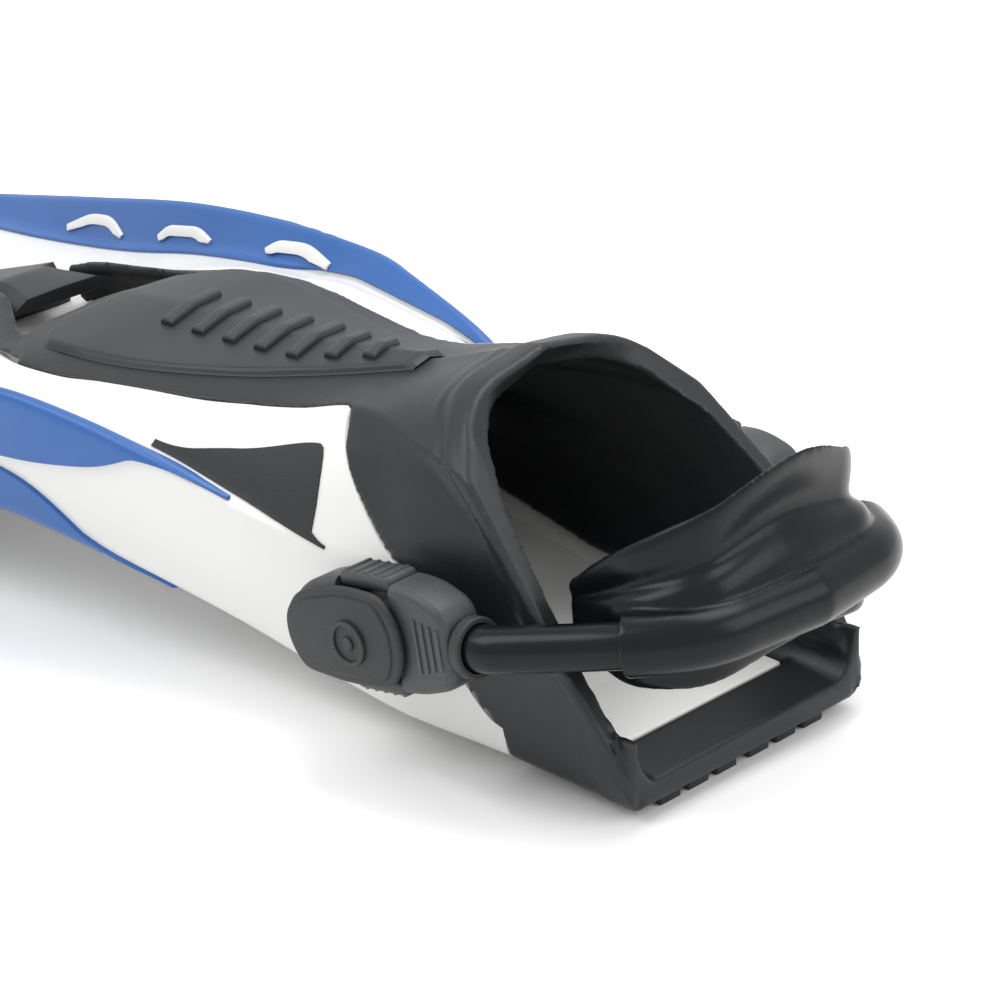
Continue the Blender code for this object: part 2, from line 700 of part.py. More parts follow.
for number, corners in enumerate(LOOPS, 1):
    path = rounded(corners, [5, 5], 3)
    inside = offset(path, 2.6)
    for label, side in SIDES:
        sections = []
        for outer_at, inner_at in zip(path, inside):
            section = [on_rail_face(*outer_at, 2.1), on_rail_face(*outer_at, 3.2)]
            section += [on_rail_face(*inner_at, 3.2), on_rail_face(*inner_at, 2.1)]
            sections.append([vec(s, side * y, z) for s, y, z in section])
        loft(f"rail_loop_{label}_{number}", sections, WHITE, fin_rest)

# ---------------------------------------------------------------- strap posts and buckles


def lathe(name, profile, finish, parent, location, side=1, segments=24):
    """A solid turned about the Y axis from a profile of (radius, y)."""
    sections = []
    for radius, y in profile:
        angles = [2 * math.pi * i / segments for i in range(segments)]
        ring = [Vector((radius * math.cos(a), side * y, radius * math.sin(a))) for a in angles]
        sections.append([point * MM for point in ring])
    made = loft(name, sections, finish, parent)
    made.location = location
    return made


POST_PROFILE = [
    (4, 49.0), (4, 53.2), (10, 53.2), (10, 56.4), (4, 56.4), (4, 65.4), (6.4, 65.4), (6.4, 68.4),
]
FRAME = [
    (-27, -3), (-22, -12), (-5, -14), (20, -13.5), (33.5, -10), (33.5, 11), (22, 16), (-2, 17),
    (-20, 13), (-27, 5),
]
COVER = [
    (-24, -3), (-19.5, -10), (-4, -11.8), (13, -11), (18, -4), (18, 6), (13, 14), (-2, 14.8),
    (-18.5, 11.2), (-24, 4.5),
]


def softened(made, width, segments=2):
    modifier = made.modifiers.new("bevel", "BEVEL")
    modifier.width = width * MM
    modifier.segments = segments
    modifier.limit_method = "ANGLE"
    return made


for label, side in SIDES:
    lathe(f"strap_post_{label}", POST_PROFILE, STEEL, fin_rest, vec(POST_S, 0, POST_Z), side)
    for wall in (chassis, foot_pocket):
        bore = lathe(
            f"post_bore_{label}_{wall.name}", [(4.4, 48.6), (4.4, 63.6)], None, fin_rest,
            vec(POST_S, 0, POST_Z), side,
        )
        boolean(wall, as_cutter(bore))

    frame = slab(
        f"buckle_frame_{label}", FRAME, side * BUCKLE_INNER, side * BUCKLE_OUTER, BUCKLE, strap_frame
    )
    softened(frame, 2.2)
    origin = (0, 0, 0)
    neck = lathe(f"neck_hole_{label}", [(4.5, 51.6), (4.5, 66.6)], None, strap_frame, origin, side)
    head = lathe(f"head_pocket_{label}", [(7, 65), (7, 75.6)], None, strap_frame, origin, side)
    socket = cylinder(
        f"socket_{label}", 5.0, 30, None, strap_frame, (25, side * 62.8, 0), across=False
    )
    upper = box(f"upper_notch_{label}", (20.6, 30, 9.1), None, strap_frame, (4, side * 63.6, 15.45))
    lower = box(f"lower_notch_{label}", (20.6, 30, 9.1), None, strap_frame, (4, side * 63.6, -13.15))
    for hole in (neck, head, socket, upper, lower):
        boolean(frame, as_cutter(hole))

    cover = slab(
        f"buckle_cover_{label}", COVER, side * (BUCKLE_OUTER + GAP), side * COVER_OUTER, TAB,
        strap_frame,
    )
    softened(cover, 1.2)
    disc = lathe(
        f"buckle_badge_{label}", [(6.3, COVER_OUTER + GAP), (6.3, COVER_OUTER + 1.3)], BUCKLE,
        strap_frame, origin, side,
    )
    softened(disc, 0.3, 1)
    for place, height in (("upper", 16.1), ("lower", -13.4)):
        tab = box(
            f"release_tab_{place}_{label}", (19.4, 11, 5.2), TAB, strap_frame,
            (4, side * 63.8, height),
        )
        softened(tab, 1.0)
    ferrule = cylinder(
        f"strap_ferrule_{label}", 8.2, 3.4, BUCKLE, strap_frame, (35.7, side * 62.8, 0), across=False
    )
    ring_bore = cylinder(
        f"ferrule_bore_{label}", 6.9, 8, None, strap_frame, (35.7, side * 62.8, 0), across=False
    )
    boolean(ferrule, as_cutter(ring_bore))

# ---------------------------------------------------------------- strap cord and heel pad


def both_sides(path):
    """A half path of (u, v) from the near side to the middle, carried on to the far side."""
    return [(u, -v) for u, v in path] + [(u, v) for u, v in reversed(path[:-1])]


def sweep(name, path, radii, finish, segments=14):
    """A round bar along a level path of (u, v)."""
    sections = []
    for i, (u, v) in enumerate(path):
        before = path[max(i - 1, 0)]
        after = path[min(i + 1, len(path) - 1)]
        run = math.dist(before, after)
        across = ((after[1] - before[1]) / run, -(after[0] - before[0]) / run)
        ring = []
        for k in range(segments):
            angle = 2 * math.pi * k / segments
            reach = radii[i] * math.cos(angle)
            ring.append(
                Vector((u + across[0] * reach, v + across[1] * reach, radii[i] * math.sin(angle))) * MM
            )
        sections.append(ring)
    return loft(name, sections, finish, strap_frame)


CORD_HALF = [(22, 62.8), (33.2, 62.8)] + rounded(
    [(34.4, 62.8), (41, 62.8), (74, 46), (89, 33), (94, 0)], [12, 14, 30], 6
)
cord_path = both_sides(CORD_HALF)
cord_radii = [4.6 if u < 34 else CORD_RADIUS for u, v in cord_path]
sweep("strap_cord", cord_path, cord_radii, STRAP)

# The pad's sections stand across its level path. Knots: (u, top, flare, bottom, ledge).
PAD_HALF = rounded([(48, 35.5), (72, 35.5), (84, 28), (87.5, 0)], [14, 20], 6)
PAD_HALF = [(48 + (72 - 48) * t, 35.5) for t in (0, 0.1, 0.25, 0.4, 0.55)] + PAD_HALF[1:]
PAD = guide(
    (0, 12, 0, -5, 1), (7, 16, 0, -12, 3), (17, 21.5, 0, -16, 6), (31, 28, 1, -16, 8),
    (45, 34, 4, -14, 8), (58, 39, 8, -12, 8), (66, 40, 9, -11, 8),
)


def pad_section(position, direction, along):
    """The pad's wall at a point of its path, from the skirt up the inside and down the outside."""
    top, flare, bottom, ledge = PAD(along)
    outer_top = 0.55 * top
    profile = [
        (0, bottom), (0, 0.3 * top), (0.4, 0.6 * top), (flare, top), (flare + 3.8, top + 0.2),
        (4.6, 0.64 * top + 2), (3.4, 0.6 * top), (3.4, outer_top - 1.5), (3.4 + 0.6 * ledge, 0.3 * top + 4),
        (4 + 0.7 * ledge, 0.1 * top), (5, 0.5 * bottom), (3.6, bottom),
    ]
    (u, v), (out_u, out_v) = position, direction
    return [Vector((u + out_u * n, v + out_v * n, w)) * MM for n, w in profile]


pad_path = both_sides(PAD_HALF)
run_to = lengths(pad_path)
pad_sections = []
for i, position in enumerate(pad_path):
    before = pad_path[max(i - 1, 0)]
    after = pad_path[min(i + 1, len(pad_path) - 1)]
    run = math.dist(before, after)
    direction = ((after[1] - before[1]) / run, -(after[0] - before[0]) / run)
    pad_sections.append(pad_section(position, direction, min(run_to[i], run_to[-1] - run_to[i])))
heel_pad = loft("heel_pad", pad_sections, STRAP, strap_frame)
middle = [i for i, (u, v) in enumerate(cord_path) if abs(v) < 46.5]
sleeve_path = cord_path[middle[0] : middle[-1] + 1]
sleeve = sweep("sleeve", sleeve_path, [SLEEVE_RADIUS] * len(sleeve_path), None)
boolean(heel_pad, as_cutter(sleeve), "UNION")
bore = sweep("cord_bore", cord_path, [radius + GAP for radius in cord_radii], None)
boolean(heel_pad, as_cutter(bore))

# ---------------------------------------------------------------- resting place

bpy.context.view_layer.update()
graph = bpy.context.evaluated_depsgraph_get()
spots = []
for made in fin.objects:
    if made.type == "MESH":
        seen = made.evaluated_get(graph)
        spots += [seen.matrix_world @ vert.co for vert in seen.to_mesh().vertices]
        seen.to_mesh_clear()
lows = [min(spot[axis] for spot in spots) for axis in range(3)]
highs = [max(spot[axis] for spot in spots) for axis in range(3)]
fin_rest.location = (-(lows[0] + highs[0]) / 2, -(lows[1] + highs[1]) / 2, -lows[2])
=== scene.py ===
"""The looks of the swim fin: smooth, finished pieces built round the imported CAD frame."""

import bisect
import math

import bmesh
import bpy
from mathutils import Matrix, Vector


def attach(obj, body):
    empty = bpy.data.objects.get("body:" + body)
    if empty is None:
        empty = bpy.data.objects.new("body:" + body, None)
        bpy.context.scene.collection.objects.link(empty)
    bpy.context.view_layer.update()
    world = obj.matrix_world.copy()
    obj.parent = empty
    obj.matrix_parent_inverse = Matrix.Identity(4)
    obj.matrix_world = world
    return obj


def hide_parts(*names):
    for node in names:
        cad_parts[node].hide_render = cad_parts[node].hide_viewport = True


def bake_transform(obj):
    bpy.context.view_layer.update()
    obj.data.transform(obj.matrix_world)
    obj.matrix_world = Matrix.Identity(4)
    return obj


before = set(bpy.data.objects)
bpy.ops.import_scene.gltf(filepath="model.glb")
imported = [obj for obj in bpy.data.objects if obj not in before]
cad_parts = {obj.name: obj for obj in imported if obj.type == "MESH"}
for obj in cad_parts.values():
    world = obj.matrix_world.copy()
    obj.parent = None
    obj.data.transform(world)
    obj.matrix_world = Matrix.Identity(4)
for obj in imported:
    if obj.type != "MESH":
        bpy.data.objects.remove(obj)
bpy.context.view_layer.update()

MM = 0.001
REST_PITCH = math.radians(3.0)
STRAP_TILT = math.radians(-11.0)
FIN = Matrix.Translation((0.292049, 0, 0.002319)) @ Matrix.Rotation(REST_PITCH, 4, "Y")
GAP = 0.35
LINING = 2.7
EDGE_GAP = 0.03
HEEL_END = 46.0
TOE_END = 261.3
BAND_END = 296.0
PANEL_END = 242.0
TONGUE_END = 260.0
PLATE_BACK = 19.5
FLOOR = 9.3
BLADE_TIP = 604.0
POST_S = 75.3
POST_Z = 35.5
BUCKLE_INNER = 57.0
BUCKLE_OUTER = 70.6
COVER_OUTER = 74.2
CORD_RADIUS = 6.2
SLEEVE_RADIUS = 8.4
SIDE_STEPS = 6
TOP_STEPS = 8

def guide(*knots):
    """A smooth curve through knots (s, value, ...): called with s, it gives the tuple of values there."""
    stations = [knot[0] for knot in knots]

    def slope(i, k):
        if i in (0, len(knots) - 1):
            return 0.0
        before = (knots[i][k] - knots[i - 1][k]) / (stations[i] - stations[i - 1])
        after = (knots[i + 1][k] - knots[i][k]) / (stations[i + 1] - stations[i])
        if before * after <= 0:
            return 0.0
        return 2 * before * after / (before + after)

    def at(s):
        s = min(max(s, stations[0]), stations[-1])
        i = min(max(bisect.bisect_right(stations, s) - 1, 0), len(knots) - 2)
        width = stations[i + 1] - stations[i]
        t = (s - stations[i]) / width
        values = []
        for k in range(1, len(knots[0])):
            low = knots[i][k]
            high = knots[i + 1][k]
            eased = (3 - 2 * t) * t * t
            bend = t * (1 - t) * ((1 - t) * slope(i, k) - t * slope(i + 1, k)) * width
            values.append(low + (high - low) * eased + bend)
        return tuple(values)

    return at


# Lines of the outside, as (s, y, z).
CHINE = guide(
    (0, 43.5, 0), (27, 44.5, 0), (46, 45, 0), (79, 48.5, 0.5), (107, 50.5, 3.5), (147, 55, 11),
    (205, 62, 18.5), (234, 64.5, 20), (262, 67, 18.5), (300, 71.5, 13), (342, 76, 6), (380, 81, -2),
    (448, 91, -14), (520, 99, -25), (580, 104, -31), (BLADE_TIP, 105, -32),
)
RIDGE = guide(
    (0, 46, 14), (14, 49, 30), (27.2, 50.3, 39.9), (51.1, 49.9, 41.6), (75.7, 52.3, 43.9),
    (99, 53, 42.6), (116, 54, 44.6), (141, 58.9, 50.4), (167.8, 64.6, 59), (191.9, 69.1, 63.7),
    (217, 74, 66.2), (248, 77, 65), (280, 81, 61), (315, 85, 55), (378, 94, 39), (448, 105, 20),
    (520, 111, 2.5), (580, 114, -11), (BLADE_TIP, 114, -16),
)
VALLEY = guide(
    (0, 46, 17), (27.2, 50.2, 43.9), (51.1, 48.9, 46.6), (75.7, 51.3, 48.9), (99, 52.2, 45.6),
    (116, 52.6, 46.7), (141, 54.4, 50.4), (164.3, 57.2, 53.7), (215.1, 63.4, 56.9), (234, 67, 53.5),
    (262, 70, 50), (302, 77, 42), (342, 82, 31.5), (375, 87.5, 23.5), (410, 92.5, 16.5),
    (448, 98.5, 9.5), (520, 105, -4.5), (580, 108.5, -15), (BLADE_TIP, 109, -19),
)
SHOULDER = guide(
    (0, 46, 20), (27.2, 50, 47.9), (51.1, 47.9, 56.6), (75.7, 47.3, 62.9), (103.5, 43.5, 62.1),
    (143.6, 46.4, 61.2), (166.4, 50.1, 61.8), (215, 57, 60.5), (234, 58, 57), (262, 54, 54.5),
    (302, 48, 43), (342, 50, 31), (375, 55, 23), (448, 60, 9), (520, 62, -5),
    (BLADE_TIP, 64, -19.5),
)
# Where the white wall ends and the rubber top begins.
EDGE = guide(
    (0, 44, 30), (27, 49.8, 51.8), (46, 46, 71), (68, 43, 77), (84, 40, 78.5), (100, 35, 79),
    (112, 31.5, 77.5), (122, 29.8, 75.2), (138.5, 31.5, 70), (156, 34.3, 66.6), (172, 38.8, 64.8),
    (189, 42.5, 63.8), (207, 46.3, 62.6), (220, 49.5, 61.2), (234, 50, 60), (251, 48, 58.5),
    (274, 38, 54), (300, 24, 44), (342, 22, 30.5), (375, 20, 22.8), (448, 18, 8.8), (520, 16, -5.2),
    (BLADE_TIP, 14, -19.7),
)
# The edge of the instep panel.
PANEL = guide(
    (0, 30, 60), (46, 33.5, 85.5), (68, 29, 91.5), (84, 24.5, 90), (96, 18, 86.5),
    (108, 10.5, 82.3), (119, 7, 78.5), (123, 8.2, 77.5), (137, 13.8, 74.4), (152, 19.3, 71.3),
    (166, 25, 68.9), (181, 30.5, 66.9), (197, 35.8, 65.2), (214, 39.5, 63.7), (228, 41, 63),
    (242, 40, 61.5), (262, 32, 59.5), (284, 19, 60.5), (300, 14, 57),
)
CROWN = guide(
    (0, 89), (46, 97.5), (74, 96), (88, 92), (98, 88.5), (110, 83.8), (119, 80.3), (137, 76.6),
    (152, 73.9), (166, 71.6), (181, 69.8), (200, 68), (228, 65.8), (242, 64), (262, 60.7),
    (300, 58),
)
# The underside of the web, and its deck or the footbed above.
UNDERSIDE = guide(
    (0, 0), (79, 0.5), (107, 3.5), (147, 11), (205, 18.5), (234, 20), (262, 22), (285, 28), (300, 35),
    (312, 34.5), (342, 26.5), (375, 19.5), (410, 13), (448, 6), (520, -8), (580, -17.8),
    (BLADE_TIP, -21.5),
)
FOOTBED = guide(
    (0, FLOOR), (90, FLOOR), (107, 10.5), (134, 14), (164, 18), (200, 22.5), (234, 24.5), (262, 27.5),
    (280, 32), (300, 41), (312, 39), (342, 30.5), (375, 22.8), (410, 16), (448, 8.8), (520, -5.2),
    (580, -15.4), (BLADE_TIP, -19.7),
)
# The upper end of the white wall, as a height.
WALL_TOP = guide(
    (46, 10.6), (50, 12), (56, 18.5), (65, 32), (75, 45), (88, 51.5), (102, 59.5), (117, 72),
    (121, 79), (124, 86),
)
# The foot's space: half-outlines as corners (y, z) from the floor to the crown.
CAVITY = guide(
    (0, 36, FLOOR, 43, 18, 45, 34, 41, 56, 25, 66, 66),
    (27, 36.5, FLOOR, 44, 28, 45, 47, 42.5, 71, 26, 82, 84.5),
    (47, 37, FLOOR, 43.5, 30, 44.5, 50, 40.5, 72, 26, 85, 89.5),
    (60, 37.5, FLOOR, 44, 30, 45.5, 50, 38.5, 76, 25, 87, 91.5),
    (80, 38, FLOOR, 45, 28, 47, 46, 35, 76, 23, 86, 89.5),
    (98, 38.5, 9.8, 46.5, 28, 48.5, 44, 32, 74, 20, 81, 84.5),
    (112, 39.5, 11, 47.5, 29, 49.5, 44, 29.5, 71.5, 17, 76.5, 79),
    (123, 40.5, 12.5, 48.5, 31, 50, 45, 29, 68.5, 16, 73.5, 75.8),
    (138, 41.5, 14.5, 50, 34, 51.5, 46, 29.5, 65, 17, 70, 72.3),
    (152, 42.5, 16.5, 51.5, 36, 53.5, 48, 32, 62.5, 21, 67, 69.8),
    (172, 44, 19.3, 54, 39, 56, 50, 37, 60, 27, 64, 66.5),
    (200, 46, 22.5, 56, 42, 58.5, 51, 43, 58.5, 32, 61.5, 64.3),
    (234, 49, 24.5, 57, 40, 58, 48, 45.5, 55, 32, 58, 60.8),
    (262, 47, 27.5, 54, 38, 54, 45, 38, 51.5, 26, 54.5, 56.5),
    (300, 30, 41, 30, 42.5, 27, 43, 17, 48, 10.5, 52, 53),
)
# The line of the opening's rim: its station at a height, outside and inside.
RIM_OUTSIDE = guide(
    (0, 2.5), (3.3, 0.8), (7.7, 1.4), (28, 14), (48, 27.8), (59, 37.5), (70, 50), (77, 60.5),
    (83, 66), (88, 70.5), (93, 73.5), (97, 74.5),
)
RIM_INSIDE = guide(
    (0, 2), (7.7, 1.4), (28, 14), (47, 27.5), (58, 37.5), (69, 49.5), (77, 60), (82.5, 67),
    (86.5, 73.5), (91, 79.5),
)


def rounded(corners, radii, steps):
    """An open outline through the corners, each inner one turned in steps + 1 points."""
    points = [corners[0]]
    for before, corner, after, radius in zip(corners, corners[1:], corners[2:], radii):
        back = math.dist(before, corner)
        ahead = math.dist(corner, after)
        reach = min(radius, 0.46 * back, 0.46 * ahead)
        start = [c + (b - c) * reach / back for b, c in zip(before, corner)]
        end = [c + (a - c) * reach / ahead for a, c in zip(after, corner)]
        for step in range(steps + 1):
            t = step / steps
            points.append(
                tuple(
                    (1 - t) ** 2 * a + 2 * t * (1 - t) * c + t * t * b
                    for a, c, b in zip(start, corner, end)
                )
            )
    points.append(corners[-1])
    return points


def lengths(points):
    total = [0.0]
    for a, b in zip(points, points[1:]):
        total.append(total[-1] + math.dist(a, b))
    return total


def spread(points, shares):
    """Points at the given shares of an outline's length."""
    total = lengths(points)
    found = []
    for share in shares:
        goal = share * total[-1]
        i = min(max(bisect.bisect_right(total, goal) - 1, 0), len(points) - 2)
        t = (goal - total[i]) / max(total[i + 1] - total[i], 1e-9)
        found.append(tuple(a + (b - a) * t for a, b in zip(points[i], points[i + 1])))
    return found


def offset(points, distance):
    """An outline moved to its left by distance, seen with y right and z up."""
    moved = []
    for i, (y, z) in enumerate(points):
        before = points[max(i - 1, 0)]
        after = points[min(i + 1, len(points) - 1)]
        dy = after[0] - before[0]
        dz = after[1] - before[1]
        size = math.hypot(dy, dz)
        moved.append((y - dz / size * distance, z + dy / size * distance))
    return moved


def waist(s):
    """The middle of the outer side, a little fuller than the straight line."""
    chine = CHINE(s)
    ridge = RIDGE(s)
    bulge = 2.2 if s < 120 else max(1.0, 2.2 - (s - 120) / 90)
    return ((chine[0] + ridge[0]) / 2 + bulge, (chine[1] + ridge[1]) / 2)


def side_outline(s):
    """From under the sole, round the chine and the ridge, up to the edge of the rubber top."""
    chine = CHINE(s)
    corners = [(0.8 * chine[0], chine[1]), chine, waist(s), RIDGE(s), VALLEY(s), SHOULDER(s), EDGE(s)]
    soft = 10 if s < 50 else max(5.0, 10 - (s - 50) / 6)
    return rounded(corners, [max(3.5, 8 - max(0, s - 200) / 12), 20, soft, soft, 12], SIDE_STEPS)


def top_outline(s):
    """From the edge of the rubber top to the crown."""
    soft = 14 if s < 95 else max(6.0, 14 - (s - 95) / 2)
    return rounded([EDGE(s), PANEL(s), (0, CROWN(s)[0])], [soft], TOP_STEPS)


SIDE_POINTS = len(side_outline(100))
HALF_POINTS = SIDE_POINTS + len(top_outline(100))


def hull(s):
    """The half-outline of the outside: side points, then top points from the edge on."""
    side = side_outline(s)
    (y_before, z_before), (y, z) = side[-2:]
    side[-1] = (y + (y_before - y) * EDGE_GAP, z + (z_before - z) * EDGE_GAP)
    return side + top_outline(s)


def cavity(s):
    """The half-outline of the foot's space, its points level with the hull's."""
    c = CAVITY(s)
    corners = [(c[0], c[1]), (c[2], c[3]), (c[4], c[5]), (c[6], c[7]), (c[8], c[9]), (0, c[10])]
    outline = rounded(corners, [20, 20, 20, 20], 4)
    inner = lengths(outline)
    reach = min(EDGE(s)[0] - 4, c[6])
    i = max(i for i, (y, z) in enumerate(outline) if y >= reach)
    part = (outline[i][0] - reach) / max(outline[i][0] - outline[i + 1][0], 1e-6)
    split = (inner[i] + (inner[i + 1] - inner[i]) * part) / inner[-1]
    outer = lengths(hull(s))
    side = outer[SIDE_POINTS - 1]
    shares = [split * length / side for length in outer[:SIDE_POINTS]]
    shares += [
        split + (1 - split) * (length - side) / (outer[-1] - side) for length in outer[SIDE_POINTS:]
    ]
    return spread(outline, shares)


def station_at(line, height_of, low, high):
    """The station where a column's height meets a rim or wall line, by bisection."""
    for _ in range(40):
        middle = (low + high) / 2
        if line(height_of(middle))[0] > middle:
            low = middle
        else:
            high = middle
    return (low + high) / 2


def vec(s, y, z):
    return Vector((-s * MM, y * MM, z * MM))


STRAP = FIN @ Matrix.Translation(vec(POST_S, 0, POST_Z)) @ Matrix.Rotation(STRAP_TILT, 4, "Y")


def lower_corners(s):
    """The underside from the centre to the chine: flat under the foot, a channel under the blade."""
    under = UNDERSIDE(s)[0]
    y, z = CHINE(s)
    depth = min(1.0, max(0.0, under - z) / 6)
    y_web = waist(s)[0] - 5.5
    inner = 0.55 * y + (y_web - 0.55 * y) * depth
    foot = 0.72 * y + (y - 8.0 - 0.72 * y) * depth
    return [(0, under), (0.5 * inner, under), (inner, under), (foot, z)]


def cut_at(points, place):
    """The outline cut off at a place between its points. What lies beyond is gathered at the cut."""
    last = len(points) - 1
    found = []
    for i in range(last + 1):
        at = min(i, place - 0.03 * (last - i))
        k = max(0, min(int(at), last - 1))
        found.append(tuple(a + (b - a) * (at - k) for a, b in zip(points[k], points[k + 1])))
    return found


def place_of_height(points, height, first):
    """Where an outline climbs past a height, as a place between its points."""
    for k in range(first, len(points) - 1):
        low, high = points[k][1], points[k + 1][1]
        if high > height:
            return k + max(0.0, (height - low) / (high - low))
    return len(points) - 1


# ---------------------------------------------------------------- mesh helpers


def smooth_mesh(name, shape, sharp):
    mesh = bpy.data.meshes.new(name)
    shape.to_mesh(mesh)
    shape.free()
    mesh.shade_smooth()
    mesh.set_sharp_from_angle(angle=math.radians(sharp))
    made = bpy.data.objects.new(name, mesh)
    bpy.context.scene.collection.objects.link(made)
    return made


def skinned(name, rows, space, wrap=True, caps=True, sharp=35):
    """A surface through rows of millimetre points, carried into the row frame."""
    shape = bmesh.new()
    rings = [[shape.verts.new(space @ Vector(point)) for point in row] for row in rows]
    count = len(rows[0])
    for ring, following in zip(rings, rings[1:]):
        for i in range(count if wrap else count - 1):
            j = (i + 1) % count
            shape.faces.new((ring[i], ring[j], following[j], following[i]))
    if caps:
        shape.faces.new(rings[0])
        shape.faces.new(rings[-1])
    bmesh.ops.recalc_face_normals(shape, faces=shape.faces)
    return smooth_mesh(name, shape, sharp)


def joined(pieces):
    """Several objects made one, with their modifiers applied first."""
    shape = bmesh.new()
    for piece in pieces:
        bpy.context.view_layer.update()
        graph = bpy.context.evaluated_depsgraph_get()
        mesh = bpy.data.meshes.new_from_object(piece.evaluated_get(graph))
        mesh.transform(piece.matrix_world)
        shape.from_mesh(mesh)
        bpy.data.objects.remove(piece)
    return shape


def fused(name, pieces, voxel, passes):
    """Closed pieces melted into one soft moulding."""
    made = smooth_mesh(name, joined(pieces), 180)
    remesh = made.modifiers.new("melt", "REMESH")
    remesh.mode = "VOXEL"
    remesh.voxel_size = voxel * MM
    remesh.use_smooth_shade = True
    relax = made.modifiers.new("relax", "SMOOTH")
    relax.factor = 0.5
    relax.iterations = passes
    shape = joined([made])
    return smooth_mesh(name, shape, 180)


def bevelled(made, width, segments=3, angle=35):
    modifier = made.modifiers.new("bevel", "BEVEL")
    modifier.width = width * MM
    modifier.segments = segments
    modifier.limit_method = "ANGLE"
    modifier.angle_limit = math.radians(angle)
    modifier.harden_normals = False
    return made


def fitted(made, finish, body, slot, *nodes):
    made.data.materials.clear()
    made.data.materials.append(finish)
    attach(made, body)
    if nodes:
        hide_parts(*nodes)
    return made


def mm(s, y, z):
    return (-s * MM, y * MM, z * MM)


def box_at(space, centre, size, turn=0.0):
    """A closed box in millimetres, turned about its own Z axis."""
    shape = bmesh.new()
    place = Matrix.Translation(Vector(centre) * MM) @ Matrix.Rotation(turn, 4, "Z")
    bmesh.ops.create_cube(
        shape, size=1, matrix=space @ place @ Matrix.Diagonal((*(MM * side for side in size), 1))
    )
    return smooth_mesh("box", shape, 35)


def subdivided(made, levels):
    modifier = made.modifiers.new("subdivide", "SUBSURF")
    modifier.levels = levels
    modifier.render_levels = levels
    return made


# ---------------------------------------------------------------- materials


def finish(name, colour, roughness, grain=0.0, grain_scale=400.0, mottle=0.08, coat=0.0, metallic=0.0,
           highlight_colour=None, highlight_amount=0.0, specular=0.4):
    """A moulded surface: uneven tone and gloss, a fine grain, and a painted highlight that makes the convex
    edges paler.
    """
    made = bpy.data.materials.new(name)
    made.use_nodes = True
    nodes, links = made.node_tree.nodes, made.node_tree.links
    shader = nodes["Principled BSDF"]
    place = nodes.new("ShaderNodeTexCoord")
    cloud = nodes.new("ShaderNodeTexNoise")
    cloud.inputs["Scale"].default_value = 28
    cloud.inputs["Detail"].default_value = 6
    links.new(place.outputs["Object"], cloud.inputs["Vector"])
    tone = nodes.new("ShaderNodeMix")
    tone.data_type = "RGBA"
    links.new(cloud.outputs["Fac"], tone.inputs["Factor"])
    tone.inputs["A"].default_value = (*(c * (1 - mottle) for c in colour), 1)
    tone.inputs["B"].default_value = (*(min(1, c * (1 + mottle)) for c in colour), 1)
    colour_out = tone.outputs["Result"]
    # Painted highlight: the convex edges, found by pointiness, are mixed towards a paler colour.
    if highlight_colour:
        shape = nodes.new("ShaderNodeNewGeometry")
        highlight_mask = nodes.new("ShaderNodeMapRange")
        highlight_mask.inputs["From Min"].default_value = 0.505
        highlight_mask.inputs["From Max"].default_value = 0.60
        highlight_mask.inputs["To Max"].default_value = highlight_amount
        links.new(shape.outputs["Pointiness"], highlight_mask.inputs["Value"])
        edge_highlight = nodes.new("ShaderNodeMix")
        edge_highlight.data_type = "RGBA"
        links.new(highlight_mask.outputs["Result"], edge_highlight.inputs["Factor"])
        links.new(colour_out, edge_highlight.inputs["A"])
        edge_highlight.inputs["B"].default_value = (*highlight_colour, 1)
        colour_out = edge_highlight.outputs["Result"]
    links.new(colour_out, shader.inputs["Base Color"])
    gloss = nodes.new("ShaderNodeMapRange")
    gloss.inputs["To Min"].default_value = max(0.04, roughness - 0.06)
    gloss.inputs["To Max"].default_value = roughness + 0.06
    links.new(cloud.outputs["Fac"], gloss.inputs["Value"])
    links.new(gloss.outputs["Result"], shader.inputs["Roughness"])
    shader.inputs["Metallic"].default_value = metallic
    shader.inputs["Specular IOR Level"].default_value = specular
    shader.inputs["Coat Weight"].default_value = coat
    shader.inputs["Coat Roughness"].default_value = 0.12
    fine = nodes.new("ShaderNodeTexNoise")
    fine.inputs["Scale"].default_value = grain_scale
    fine.inputs["Detail"].default_value = 3
    links.new(place.outputs["Object"], fine.inputs["Vector"])
    bump = nodes.new("ShaderNodeBump")
    bump.inputs["Strength"].default_value = grain
    bump.inputs["Distance"].default_value = 0.0003
    links.new(fine.outputs["Fac"], bump.inputs["Height"])
    links.new(bump.outputs["Normal"], shader.inputs["Normal"])
    return made


WHITE = finish("white_moulding", (0.66, 0.66, 0.64), 0.32, 0.05, 900, 0.012)
BLUE = finish("blue_moulding", (0.020, 0.098, 0.32), 0.34, 0.06, 900, 0.04)
# The last two colour values paint a pale highlight on the rubber's convex edges.
BLACK = finish("foot_pocket_rubber", (0.0075, 0.009, 0.011), 0.42, 0.16, 1300, 0.12, 0.0, 0.0,
               (0.05, 0.05, 0.052), 0.22)
INLAY = finish("inlay_rubber", (0.013, 0.014, 0.0165), 0.6, 0.55, 1900, 0.10)
STRAP_GLOSS = finish(
    "strap_rubber_gloss", (0.0035, 0.0042, 0.0055), 0.26, 0.05, 1100, 0.12, 0.0, specular=0.22
)
# The buckle and tab finishes also paint a pale highlight on their convex edges.
BUCKLE = finish("buckle_textured", (0.014, 0.015, 0.0165), 0.5, 0.6, 2200, 0.10, 0.0, 0.0,
                (0.05, 0.05, 0.05), 0.3)
TAB = finish("tab_satin", (0.030, 0.033, 0.037), 0.4, 0.35, 2200, 0.08, 0.0, 0.0,
             (0.09, 0.09, 0.095), 0.3)
STEEL = finish("post_steel", (0.60, 0.60, 0.60), 0.28, 0.1, 900, 0.04, 0.0, 1.0)

# ---------------------------------------------------------------- white chassis


